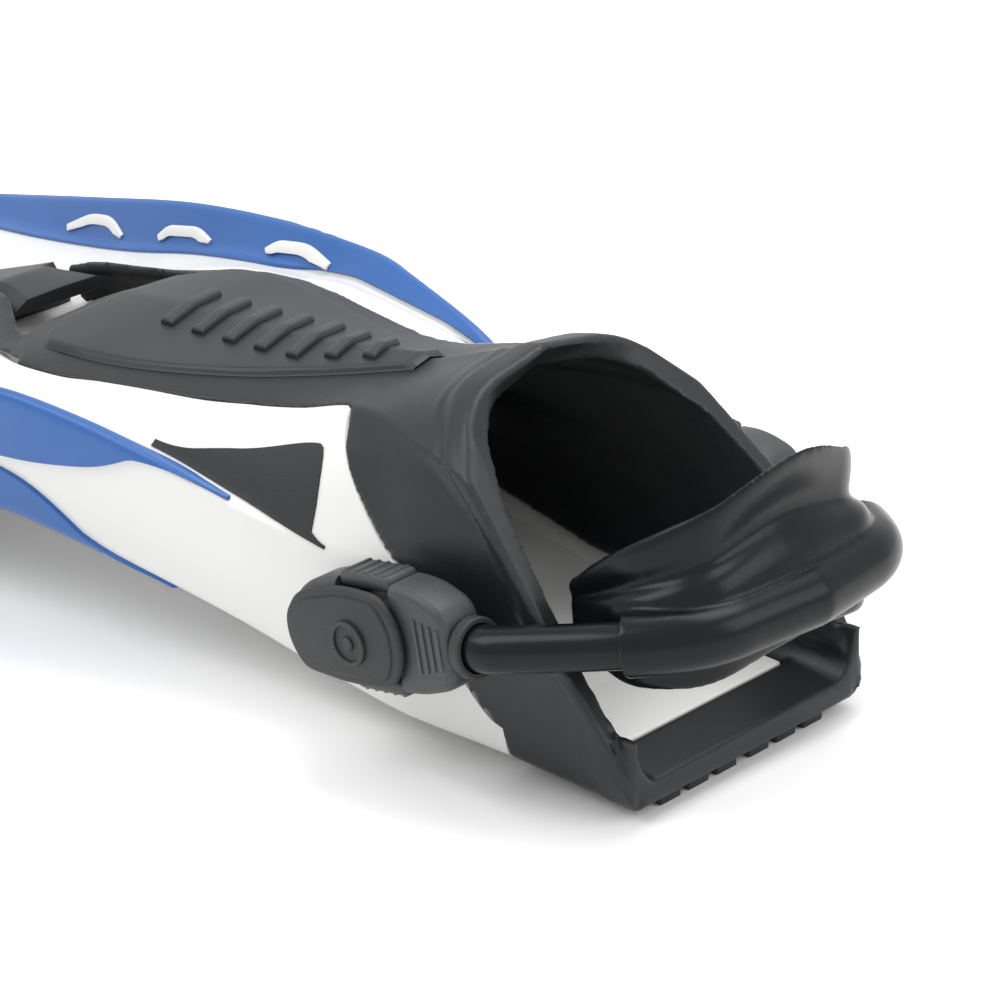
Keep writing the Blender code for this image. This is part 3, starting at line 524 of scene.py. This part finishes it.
def fine_place(place):
    """A place counted on the coarse outline, as one on the fine outline."""
    if place < 1:
        return place
    corner = int((place - 1) // 4)
    part = place - 1 - 4 * corner
    inside = part * SIDE_STEPS / 3 if part <= 3 else SIDE_STEPS + part - 3
    return 1 + corner * (SIDE_STEPS + 1) + inside


def chassis_section(s):
    """The white section at a station, as a closed list of (y, z)."""
    outer = hull(s)[:SIDE_POINTS]
    inner = offset(cavity(min(s, TOE_END)), -LINING - GAP)[:SIDE_POINTS]
    bed = FOOTBED(s)[0]
    last = SIDE_POINTS - 1
    if s > TOE_END:
        blend = min(1.0, (s - TOE_END) / 15)
        edge_y, edge_z = EDGE(s)
        inner = [
            (
                y + (edge_y * (0.04 + 0.9 * k / last) - y) * blend,
                min(z + (bed + (edge_z - 1.4 - bed) * (k / last) ** 3 - z) * blend, edge_z - 1.4),
            )
            for k, (y, z) in enumerate(inner)
        ]
    top = WALL_TOP(s)[0]
    outer_end = inner_end = last
    if s < 124:
        outer_end = place_of_height(outer, top, 5)
        inner_end = place_of_height(inner, top, 1)
    outer = lower_corners(s) + cut_at(outer, outer_end)[1:]
    inner = cut_at(inner, inner_end)[::3]
    return outer + [(y, max(z, bed)) for y, z in reversed(inner)] + [(0, bed)]


def tip_shift(s, y):
    """How far the blade tip is drawn forward at y: two rounded lobes with a shallow notch between."""
    ease = max(0.0, (s - 500) / (BLADE_TIP - 500)) ** 2
    lobe = math.cos((abs(y) - 62) / 62 * math.pi / 2) if abs(y) < 124 else 0.0
    return ease * (16 * lobe - 8)


def chassis_ring(s):
    half = chassis_section(s)
    ring = [(-y, z) for y, z in half] + [(y, z) for y, z in reversed(half[1:-1])]
    return [mm(s + tip_shift(s, y), y, z) for y, z in ring]


def stations(first, last, step):
    count = max(2, round((last - first) / step) + 1)
    return [first + (last - first) * i / (count - 1) for i in range(count)]


chassis_stations = stations(46.2, 125, 1.5) + stations(127, 320, 3.2) + stations(324, BLADE_TIP, 5)
chassis = skinned("chassis_shell", [chassis_ring(s) for s in chassis_stations], FIN, sharp=40)
plate = bevelled(box_at(FIN, (-PLATE_BACK - 15.25, 0, 6.75), (30.5, 66.8, 4.8)), 0.8)
chassis = smooth_mesh("chassis_white", joined([chassis, plate]), 40)
fitted(chassis, WHITE, "fin", "white_polymer", "chassis")

# ---------------------------------------------------------------- black foot pocket


def wall_reach(k):
    """The station where a side column passes under the end of the white wall."""
    low, high = HEEL_END, 126.0
    for _ in range(30):
        middle = (low + high) / 2
        if WALL_TOP(middle)[0] < hull(middle)[k][1]:
            low = middle
        else:
            high = middle
    return low


def eased(t):
    t = min(1.0, max(0.0, t))
    return t * t * (3 - 2 * t)


def pocket_column(k):
    """One strip of the rubber, from the rim forward along the outside and back along the inside."""
    side = k < SIDE_POINTS
    start = station_at(RIM_OUTSIDE, lambda s: hull(s)[k][1], 0, 100)
    inside = station_at(RIM_INSIDE, lambda s: cavity(s)[k][1], 0, 100)
    reach = wall_reach(k) if side else 999.0
    if side:
        end = TOE_END + (PANEL_END - TOE_END) * k / SIDE_POINTS
    else:
        share = (k - SIDE_POINTS) / (HALF_POINTS - 1 - SIDE_POINTS)
        end = PANEL_END + (TONGUE_END - PANEL_END) * math.sin(share * math.pi / 2)
    split = reach if side and reach < end - 6 else min(122.0, end - 6)
    split = max(split, start + 8)
    fore = [start + (split - start) * (1 - (1 - i / 26) ** 1.5) ** 1.15 for i in range(27)]
    aft = [split + (end - split) * (i / 22) ** 1.8 for i in range(1, 23)]
    out = []
    for s in fore + aft:
        band = 1.3 * (1 - eased((s - start - 11) / 1.8)) + 0.5 * math.exp(-(((s - start - 17) / 1.2) ** 2))
        raised = offset(hull(s), -band * eased((s - start) / 2 + 0.3) * (0.3 if s < 20 else 1.0))[k]
        if s > reach:
            hidden = offset(cavity(s), -LINING + 0.4)[k]
            raised = tuple(a + (b - a) * eased((s - reach) / 3 + 0.2) for a, b in zip(raised, hidden))
        out.append((s, *raised))
    total = end - start
    shares = [(at - start) / total for at in reversed(fore + aft)]
    back = [(s, *cavity(s)[k]) for s in (inside + (end - inside) * share for share in shares)]
    return out + back


columns = [pocket_column(k) for k in range(3, HALF_POINTS)]
near = [[mm(s, -y, z) for s, y, z in rows] for rows in columns]
far = [[mm(s, y, z) for s, y, z in rows] for rows in reversed(columns[:-1])]
shell = skinned("shell", near + far, FIN)


def band_section(s, side):
    """One of the two bands that run from the toe round the vent."""
    (edge_y, edge_z), (panel_y, panel_z) = EDGE(s), PANEL(s)
    points = [
        (0.95 * edge_y, edge_z - 0.1), (panel_y + 2, panel_z - 1.2), (panel_y, panel_z - 0.15),
        (panel_y - 1, panel_z - 4), (0.84 * edge_y - 1, edge_z - 3),
    ]
    return [mm(s, side * y, z) for y, z in points]


bands = [
    skinned("band", [band_section(s, side) for s in stations(238, BAND_END, 4)], FIN)
    for side in (-1, 1)
]
heel_profile = [
    (1.4, 7.6), (PLATE_BACK - GAP, 9.0), (PLATE_BACK - GAP, 4.0), (HEEL_END - GAP, 4.0),
    (HEEL_END - GAP, 0.4), (3.0, 0.4), (0.9, 2.4),
]
heel_floor = skinned("floor", [[mm(s, y, z) for s, z in heel_profile] for y in (-42, 42)], FIN)


def corner_fillet(side):
    """The rounded corner between the heel's floor and its wall."""
    rows = []
    for s in stations(1.6, 45, 4):
        y0, z0 = 33.0, FOOTBED(s)[0] - 1.6 + min(0.0, (s - PLATE_BACK) * 0.075)
        wall = cavity(s)
        y1, z1 = min(wall, key=lambda p: abs(p[1] - (z0 + 15)))
        arc = [(y0 + (y1 - y0) * math.sin(a), z1 - (z1 - z0) * math.cos(a)) for a in
               (math.pi / 2 * i / 8 for i in range(9))]
        rows.append([mm(s, side * y, z) for y, z in arc + [(y1 + 2, z1), (y1 + 2, z0 - 2), (y0, z0 - 2)]])
    return skinned("fillet", rows, FIN)


fillets = [corner_fillet(side) for side in (-1, 1)]
pocket = fused("foot_pocket_moulding", [shell, heel_floor] + bands + fillets, 0.85, 4)
fitted(pocket, BLACK, "fin", "black_rubber", "foot_pocket")

tread = [box_at(FIN, (-24.5, 0, 0.55), (42, 66, 1.4))]
for s in (7.5, 19.0, 30.5, 42.0):
    for y in (-28.5, -17.5, -6.5, 6.5, 17.5, 28.5):
        tread.append(box_at(FIN, (-s, y, -0.95), (7.4, 8.0, 3.1)))
tread = smooth_mesh("heel_tread_lugs", joined([bevelled(piece, 0.5, 2) for piece in tread]), 40)
fitted(tread, BLACK, "fin", "black_rubber", "heel_tread")


def top_height(s, y):
    """The height of the rubber top at y."""
    outline = top_outline(s)
    for (y_out, z_out), (y_in, z_in) in zip(outline, outline[1:]):
        if y_in <= y <= y_out:
            return z_out + (z_in - z_out) * (y_out - y) / (y_out - y_in)
    return outline[0][1]


def panel_half(s):
    half = PANEL(s)[0] - 0.6
    if s > PANEL_END - 4:
        half *= math.sqrt(max(0.02, 1 - ((s - PANEL_END + 4) / (TONGUE_END - PANEL_END)) ** 2))
    return half


def panel_surface(s, y, height):
    half = panel_half(s)
    edge = min((half - abs(y)) / 2.2, (s - 119) / 2.2, (254.5 - s) / 2.2)
    return mm(s, y, top_height(s, abs(y)) + height * eased(edge * 1.3) + 0.1)


panel_rows = []
for s in stations(119.5, 254, 2.2):
    half = panel_half(s)
    ys = [half * math.sin(math.pi / 2 * (i / 20 - 1)) for i in range(41)]
    panel_rows.append([panel_surface(s, y, 1.9) for y in ys])
panel = skinned("panel", panel_rows, FIN, wrap=False, caps=False, sharp=60)
bars = []
for i in range(7):
    s0 = 139 + 13.5 * i
    length = min(13.5, PANEL(s0)[0] * 0.62 - 2)
    rows = []
    for t in stations(0, 1, 0.08):
        y = -length + 2 * length * t
        s = s0 + 0.32 * y
        section = ((-3.1, 1.4), (-2.3, 3.6), (2.3, 3.6), (3.1, 1.4))
        rows.append([mm(s + ds, y, top_height(s + ds, abs(y)) + rise) for ds, rise in section])
    bars.append(bevelled(skinned("bar", rows, FIN), 0.6, 2))
panel = smooth_mesh("instep_panel_relief", joined([panel] + bars), 50)
fitted(panel, BLACK, "fin", "black_rubber", "instep_panel")

SPINE = guide(
    (281, 19, 58), (300, 13, 57.5), (301, 13.5, 57.2), (304, 21, 56), (342, 17, 43), (380, 13, 29),
    (430, 8, 15.5),
)


def spine_section(s):
    half, top = SPINE(s)
    if s < 303:
        half = min(half, PANEL(s)[0] - 1.6)
        low, side = top - 4.5, top - 3.0
    else:
        low = FOOTBED(s)[0] + 0.4
        side = EDGE(s)[1] + 1.0
    low = min(low, side - 0.4)
    points = [(0, low), (half, low), (half, side), (0.72 * half, top), (0, top + 0.3)]
    return [mm(s, y, z) for y, z in points] + [mm(s, -y, z) for y, z in reversed(points[1:-1])]


spine = skinned("spine", [spine_section(s) for s in stations(281, 302, 3) + stations(304, 430, 6)], FIN)
spine = smooth_mesh("centre_spine_moulding", joined([bevelled(spine, 1.6, 4, 25)]), 60)
fitted(spine, BLACK, "fin", "black_rubber", "centre_spine")

# ---------------------------------------------------------------- blue rails, inlays and loops


def over_side(s, place, height):
    outline = offset(side_outline(s), -height)
    k = min(int(place), len(outline) - 2)
    return tuple(a + (b - a) * (place - k) for a, b in zip(outline[k], outline[k + 1]))


def patch(at, first_place, last_place, height, side, columns=22):
    """A sheet lying over the white side between two places."""
    rows = []
    for s in at:
        first, last = fine_place(first_place(s)[0]), fine_place(last_place(s)[0])
        row = []
        for i in range(columns + 1):
            y, z = over_side(s, first + (last - first) * i / columns, height)
            row.append(mm(s + tip_shift(s, y), side * y, z))
        rows.append(row)
    return rows


RAIL_TOP = guide((140, 12.2), (156, 13.3), (232, 13.7), (264, 15.7), (600, 15.7))
RAIL_EDGE = guide((140, 11.2), (156, 10.2), (191, 7.6), (218, 6.6), (250, 6.15), (258, 6.1), (600, 6.1))
RAIL_FOOT = guide((131, 1.2), (600, 1.2))
PRONG_TOP = guide((168, 2.0), (221, 5.6), (250, 6.05), (258, 6.1), (600, 6.1))
INLAY_FOOT = guide((107, 12.7), (139, 14.4), (174, 15.2))
INLAY_TOP = guide((107, 13.9), (122, 19.9), (147, 18.2), (174, 16.2))


def sheet(name, grids, thickness):
    """Sheets merged along their shared edges and given thickness inwards."""
    shape = bmesh.new()
    for rows in grids:
        points = [[shape.verts.new(FIN @ Vector(point)) for point in row] for row in rows]
        for row, following in zip(points, points[1:]):
            for i in range(len(row) - 1):
                shape.faces.new((row[i], row[i + 1], following[i + 1], following[i]))
    bmesh.ops.remove_doubles(shape, verts=shape.verts, dist=2e-5)
    bmesh.ops.recalc_face_normals(shape, faces=shape.faces)
    outward = sum(
        (face.normal.y * (1 if face.calc_center_median().y > 0 else -1) * face.calc_area())
        for face in shape.faces
    )
    if outward < 0:
        bmesh.ops.reverse_faces(shape, faces=shape.faces)
    made = smooth_mesh(name, shape, 50)
    solid = made.modifiers.new("thickness", "SOLIDIFY")
    solid.thickness = thickness * MM
    solid.offset = -1
    return smooth_mesh(name, joined([bevelled(made, 0.28, 2, 60)]), 50)


LOOPS = (
    ((392, 25.5), (378, 33), (364, 36), (354, 33)),
    ((332, 39.5), (327, 44), (309, 48.5), (300, 47)),
    ((268, 54), (263, 57.5), (248, 60.5), (234, 58.5)),
)


def on_rail_face(s, z, height):
    """The point of a rail's inner face at a height z, raised out from it."""
    first, last = round(fine_place(11)), round(fine_place(14))
    face = offset(side_outline(s), -height)[first : last + 1]
    z = min(max(z, face[-1][1]), face[0][1])
    for (y_up, z_up), (y_down, z_down) in zip(face, face[1:]):
        if z >= z_down:
            break
    return (s, y_up + (y_down - y_up) * (z_up - z) / (z_up - z_down), z)


rail_stations = stations(140, 258, 2.5)[:-1] + stations(258, 330, 3) + stations(334, 584, 5)
low_stations = stations(168, 258, 2.5)[:-1] + stations(258, 330, 3) + stations(334, 584, 5)
for label, side in (("left", -1), ("right", 1)):
    upper = patch(rail_stations, RAIL_EDGE, RAIL_TOP, 1.3, side)
    lower = patch(low_stations, RAIL_FOOT, PRONG_TOP, 1.3, side)
    rail = sheet(f"rail_skin_{label}", [upper, lower], 1.7)
    fitted(rail, BLUE, "fin", "blue_rail", f"rail_{label}")
    inlay = patch(stations(107, 172.5, 1.5), INLAY_FOOT, INLAY_TOP, 0.5, side, 16)
    inlay = sheet(f"inlay_skin_{label}", [inlay], 0.8)
    fitted(inlay, INLAY, "fin", "grey_inlay", f"side_inlay_{label}")
    for number, corners in enumerate(LOOPS, 1):
        path = rounded(corners, [5, 5], 6)
        inside = offset(path, 3.2)
        rows = []
        for outer_at, inner_at in zip(path, inside):
            section = [on_rail_face(*outer_at, 1.0), on_rail_face(*outer_at, 2.3)]
            section += [on_rail_face(*inner_at, 2.3), on_rail_face(*inner_at, 1.0)]
            rows.append([mm(s, side * y, z) for s, y, z in section])
        loop = skinned(f"loop_{label}_{number}", rows, FIN)
        loop = smooth_mesh(f"rail_trim_{label}_{number}", joined([bevelled(loop, 0.4, 2)]), 50)
        fitted(loop, WHITE, "fin", "white_polymer", f"rail_loop_{label}_{number}")

# ---------------------------------------------------------------- posts and buckles


def lathe(name, profile, space, side, segments=48):
    """A solid turned about the Y axis from a profile of (radius, y)."""
    rows = []
    for radius, y in profile:
        angles = [2 * math.pi * i / segments for i in range(segments)]
        rows.append([(radius * math.cos(a) * MM, side * y * MM, radius * math.sin(a) * MM) for a in angles])
    return skinned(name, rows, space)


def slab(name, outline, low, high, round_by, space=STRAP):
    rows = [[(u * MM, y * MM, w * MM) for u, w in outline] for y in (low, high)]
    return bevelled(skinned(name, rows, space), round_by, 4)


def curved(corners, radius, steps=5):
    """A closed outline with every corner turned."""
    loop = corners + corners[:2]
    points = rounded(loop, [radius] * len(corners), steps)
    return points[1:-1]


POST_PROFILE = [
    (4, 49.0), (4, 53.2), (9.6, 53.2), (10, 53.6), (10, 56.0), (9.6, 56.4), (4, 56.4), (4, 65.4),
    (6.4, 65.4), (6.4, 68.4),
]
FRAME = [
    (-27, -3), (-22, -12), (-5, -14), (20, -13.5), (33.5, -10), (33.5, 11), (22, 16), (-2, 17),
    (-20, 13), (-27, 5),
]
COVER = [
    (-25.5, -3), (-21, -10.5), (-4, -12.3), (13, -11.5), (18.5, -4), (18.5, 6), (13, 14.2), (-2, 15.2),
    (-19.5, 11.7), (-25.5, 4.5),
]
RIM = [
    (-23, -2.6), (-19, -8.6), (-4, -10.2), (12, -9.6), (15.6, -3), (15.6, 5.2), (11.5, 12.2), (-2, 13),
    (-17.5, 9.8), (-23, 4),
]
BADGE_RING = [(6.3, 73.9), (6.3, 75.0), (6.0, 75.3), (5.2, 75.3), (4.9, 75.0), (4.9, 74.6)]
BADGE_DOT = [(2.0, 74.5), (2.0, 75.0), (1.7, 75.3)]
post_space = FIN @ Matrix.Translation(vec(POST_S, 0, POST_Z))
for label, side in (("left", -1), ("right", 1)):
    post = lathe("post", POST_PROFILE, post_space, side)
    post = smooth_mesh(f"post_{label}", joined([post]), 35)
    fitted(post, STEEL, "fin", "stainless_steel", f"strap_post_{label}")

    frame_piece = slab("frame", curved(FRAME, 5), side * BUCKLE_INNER, side * BUCKLE_OUTER, 2.6)
    cuts = [
        lathe("cut", [(4.6, 51.6), (4.6, 66.6)], STRAP, side),
        lathe("cut", [(7, 65), (7, 75.6)], STRAP, side),
        box_at(STRAP, (4, side * 63.6, 15.45), (20.4, 30, 9.1)),
        box_at(STRAP, (4, side * 63.6, -13.15), (20.4, 30, 9.1)),
    ]
    for cut in cuts:
        modifier = frame_piece.modifiers.new("cut", "BOOLEAN")
        modifier.object = cut
        modifier.solver = "EXACT"
    ribs = []
    for i in range(4):
        rib = box_at(STRAP, (22.5 + 2.7 * i, side * 70.0, 1), (1.3, 2.4, 15 - 1.2 * i))
        ribs.append(bevelled(rib, 0.5, 2))
    merged = joined([frame_piece] + ribs)
    for cut in cuts:
        bpy.data.objects.remove(cut)
    frame_piece = smooth_mesh(f"buckle_body_{label}", merged, 40)
    fitted(frame_piece, TAB, "strap", "buckle_plastic", f"buckle_frame_{label}")

    cover = slab("cover", curved(COVER, 5), side * 70.8, side * 73.6, 1.3)
    raised = slab("raised", curved(RIM, 4), side * 72.6, side * COVER_OUTER, 0.7)
    cover = smooth_mesh(f"buckle_plate_{label}", joined([cover, raised]), 40)
    fitted(cover, BUCKLE, "strap", "tab_plastic", f"buckle_cover_{label}")

    badge = [
        lathe("badge", BADGE_RING, STRAP, side),
        lathe("badge", BADGE_DOT, STRAP, side),
    ]
    badge = smooth_mesh(f"badge_{label}", joined(badge), 40)
    fitted(badge, BUCKLE, "strap", "buckle_plastic", f"buckle_badge_{label}")

    for place, height, sign in (("upper", 16.1, 1), ("lower", -13.4, -1)):
        parts = [bevelled(box_at(STRAP, (4, side * 63.8, height - sign * 0.5), (19.4, 11, 4.6)), 1.6, 4)]
        for i in range(5):
            centre = (-3.2 + 3.6 * i, side * 63.8, height + sign * 1.6)
            parts.append(bevelled(box_at(STRAP, centre, (1.3, 9, 1.2)), 0.4, 2))
        tab = smooth_mesh(f"tab_{place}_{label}", joined(parts), 40)
        fitted(tab, TAB, f"release_tab_{place}_{label}", "tab_plastic", f"release_tab_{place}_{label}")

    ring_rows = []
    for radius, u in ((6.7, 33.9), (7.7, 33.9), (8.2, 34.5), (8.2, 36.9), (7.7, 37.4), (6.7, 37.4)):
        angles = [2 * math.pi * i / 40 for i in range(40)]
        ring_rows.append([
            (u * MM, (side * 62.8 + radius * math.cos(a)) * MM, radius * math.sin(a) * MM) for a in angles
        ])
    ring_rows.append(ring_rows[0])
    ferrule = skinned(f"ferrule_{label}", ring_rows, STRAP, caps=False)
    fitted(ferrule, BUCKLE, "strap", "buckle_plastic", f"strap_ferrule_{label}")

# ---------------------------------------------------------------- strap and heel pad


def both_sides(path):
    """A half path of (u, v) from the near side to the middle, carried on to the far side."""
    return [(u, -v) for u, v in path] + [(u, v) for u, v in reversed(path[:-1])]


def sweep(name, path, radii, segments=28):
    """A round bar along a level path of (u, v)."""
    rows = []
    for i, (u, v) in enumerate(path):
        before = path[max(i - 1, 0)]
        after = path[min(i + 1, len(path) - 1)]
        run = math.dist(before, after)
        across = ((after[1] - before[1]) / run, -(after[0] - before[0]) / run)
        ring = []
        for k in range(segments):
            angle = 2 * math.pi * k / segments
            reach = radii[i] * math.cos(angle)
            height = radii[i] * math.sin(angle)
            ring.append(((u + across[0] * reach) * MM, (v + across[1] * reach) * MM, height * MM))
        rows.append(ring)
    return skinned(name, rows, STRAP)


CORD_HALF = [(22, 62.8), (33.2, 62.8)] + rounded(
    [(34.4, 62.8), (41, 62.8), (74, 46), (89, 33), (94, 0)], [12, 14, 30], 14
)
cord_path = both_sides(CORD_HALF)
cord_path = [
    (a[0] + (b[0] - a[0]) * t, a[1] + (b[1] - a[1]) * t)
    for a, b in zip(cord_path, cord_path[1:]) for t in (0, 0.5)
] + [cord_path[-1]]
cord = sweep("cord", cord_path, [4.6 if u < 34 else CORD_RADIUS for u, v in cord_path])
cord = smooth_mesh("elastic_cord", joined([cord]), 60)
cord.data.materials.append(STRAP_GLOSS)
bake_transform(cord)
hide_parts("strap_cord")

PAD_HALF = rounded([(48, 35.5), (72, 35.5), (84, 28), (87.5, 0)], [14, 20], 12)
PAD_HALF = [(48 + (72 - 48) * t, 35.5) for t in (0, 0.04, 0.1, 0.2, 0.3, 0.4, 0.5, 0.57)] + PAD_HALF[1:]
PAD = guide(
    (0, 12, 0, -5, 1), (7, 16, 0, -12, 3), (17, 21.5, 0, -16, 6), (31, 28, 1, -16, 8),
    (45, 34, 5, -14, 8), (58, 41, 10, -12, 8), (66, 43, 11, -11, 8),
)


def pad_section(position, direction, along):
    """The pad's wall at a point of its path, from the skirt up the inside and down the outside."""
    top, flare, bottom, ledge = PAD(along)
    outer_top = 0.55 * top
    profile = [
        (0, bottom), (0, 0.3 * top), (0.4, 0.6 * top), (flare, top), (flare + 3.8, top + 0.2),
        (4.6, 0.64 * top + 2), (3.4, 0.6 * top), (3.4, outer_top - 1.5), (3.4 + 0.6 * ledge, 0.3 * top + 4),
        (4 + 0.7 * ledge, 0.1 * top), (5, 0.5 * bottom), (3.6, bottom),
    ]
    (u, v), (out_u, out_v) = position, direction
    return [((u + out_u * n) * MM, (v + out_v * n) * MM, w * MM) for n, w in profile]


pad_path = both_sides(PAD_HALF)
run_to = lengths(pad_path)
pad_rows = []
for i, position in enumerate(pad_path):
    before = pad_path[max(i - 1, 0)]
    after = pad_path[min(i + 1, len(pad_path) - 1)]
    run = math.dist(before, after)
    direction = ((after[1] - before[1]) / run, -(after[0] - before[0]) / run)
    pad_rows.append(pad_section(position, direction, min(run_to[i], run_to[-1] - run_to[i])))
pad = subdivided(skinned("pad", pad_rows, STRAP, sharp=180), 2)
middle = [i for i, (u, v) in enumerate(cord_path) if abs(v) < 46.5]
sleeve_path = cord_path[middle[0] : middle[-1] + 1]
sleeve = sweep("sleeve", sleeve_path, [SLEEVE_RADIUS] * len(sleeve_path))
pad = fused("heel_pad_moulding", [pad, sleeve], 0.6, 9)
fitted(pad, STRAP_GLOSS, "pad", "strap_rubber", "heel_pad")

# ---------------------------------------------------------------- stage, light and camera

floor = bpy.data.meshes.new("floor")
floor.from_pydata([(-4, -4, 0), (4, -4, 0), (4, 4, 0), (-4, 4, 0)], [], [(0, 1, 2, 3)])
floor = bpy.data.objects.new("floor", floor)
bpy.context.scene.collection.objects.link(floor)
floor.data.materials.append(finish("pale_floor", (0.93, 0.93, 0.93), 0.7, 0.0, 100, 0.0))

world = bpy.data.worlds.new("studio")
bpy.context.scene.world = world
world.use_nodes = True
world.node_tree.nodes["Background"].inputs["Color"].default_value = (1, 1, 1, 1)
world.node_tree.nodes["Background"].inputs["Strength"].default_value = 0.95


def area_light(name, place, aim, size, power):
    data = bpy.data.lights.new(name, "AREA")
    data.shape = "RECTANGLE"
    data.size, data.size_y = size
    data.energy = power
    made = bpy.data.objects.new(name, data)
    bpy.context.scene.collection.objects.link(made)
    made.location = place
    made.rotation_euler = (Vector(aim) - Vector(place)).to_track_quat("-Z", "Y").to_euler()


area_light("key", (-0.5, -0.9, 1.5), (0.1, 0, 0.05), (1.0, 1.0), 12)
area_light("top", (0.2, 0.5, 1.6), (0.1, 0, 0.05), (1.4, 0.8), 16)
area_light("rim", (1.4, 0.4, 0.8), (0.2, 0, 0.05), (0.8, 0.8), 5)

azimuth, elevation, roll = math.radians(44.86), math.radians(24.95), math.radians(-0.84)
level = math.cos(elevation)
back = Vector((math.sin(azimuth) * level, -math.cos(azimuth) * level, math.sin(elevation)))
across = Vector((math.cos(azimuth), math.sin(azimuth), 0))
upward = back.cross(across)
right = across * math.cos(roll) + upward * math.sin(roll)
up = upward * math.cos(roll) - across * math.sin(roll)
place = Vector((-0.0931, 0, 0.04554)) + back * 0.991
turn = Matrix((right, up, back)).transposed().to_4x4()
camera = bpy.data.objects.new("camera", bpy.data.cameras.new("camera"))
camera.data.lens = 129.96
camera.data.sensor_width = 36
camera.data.clip_start = 0.01
camera.matrix_world = FIN @ Matrix.Translation(place) @ turn
bpy.context.scene.collection.objects.link(camera)
bpy.context.scene.camera = camera

bpy.context.scene.view_settings.view_transform = "Standard"
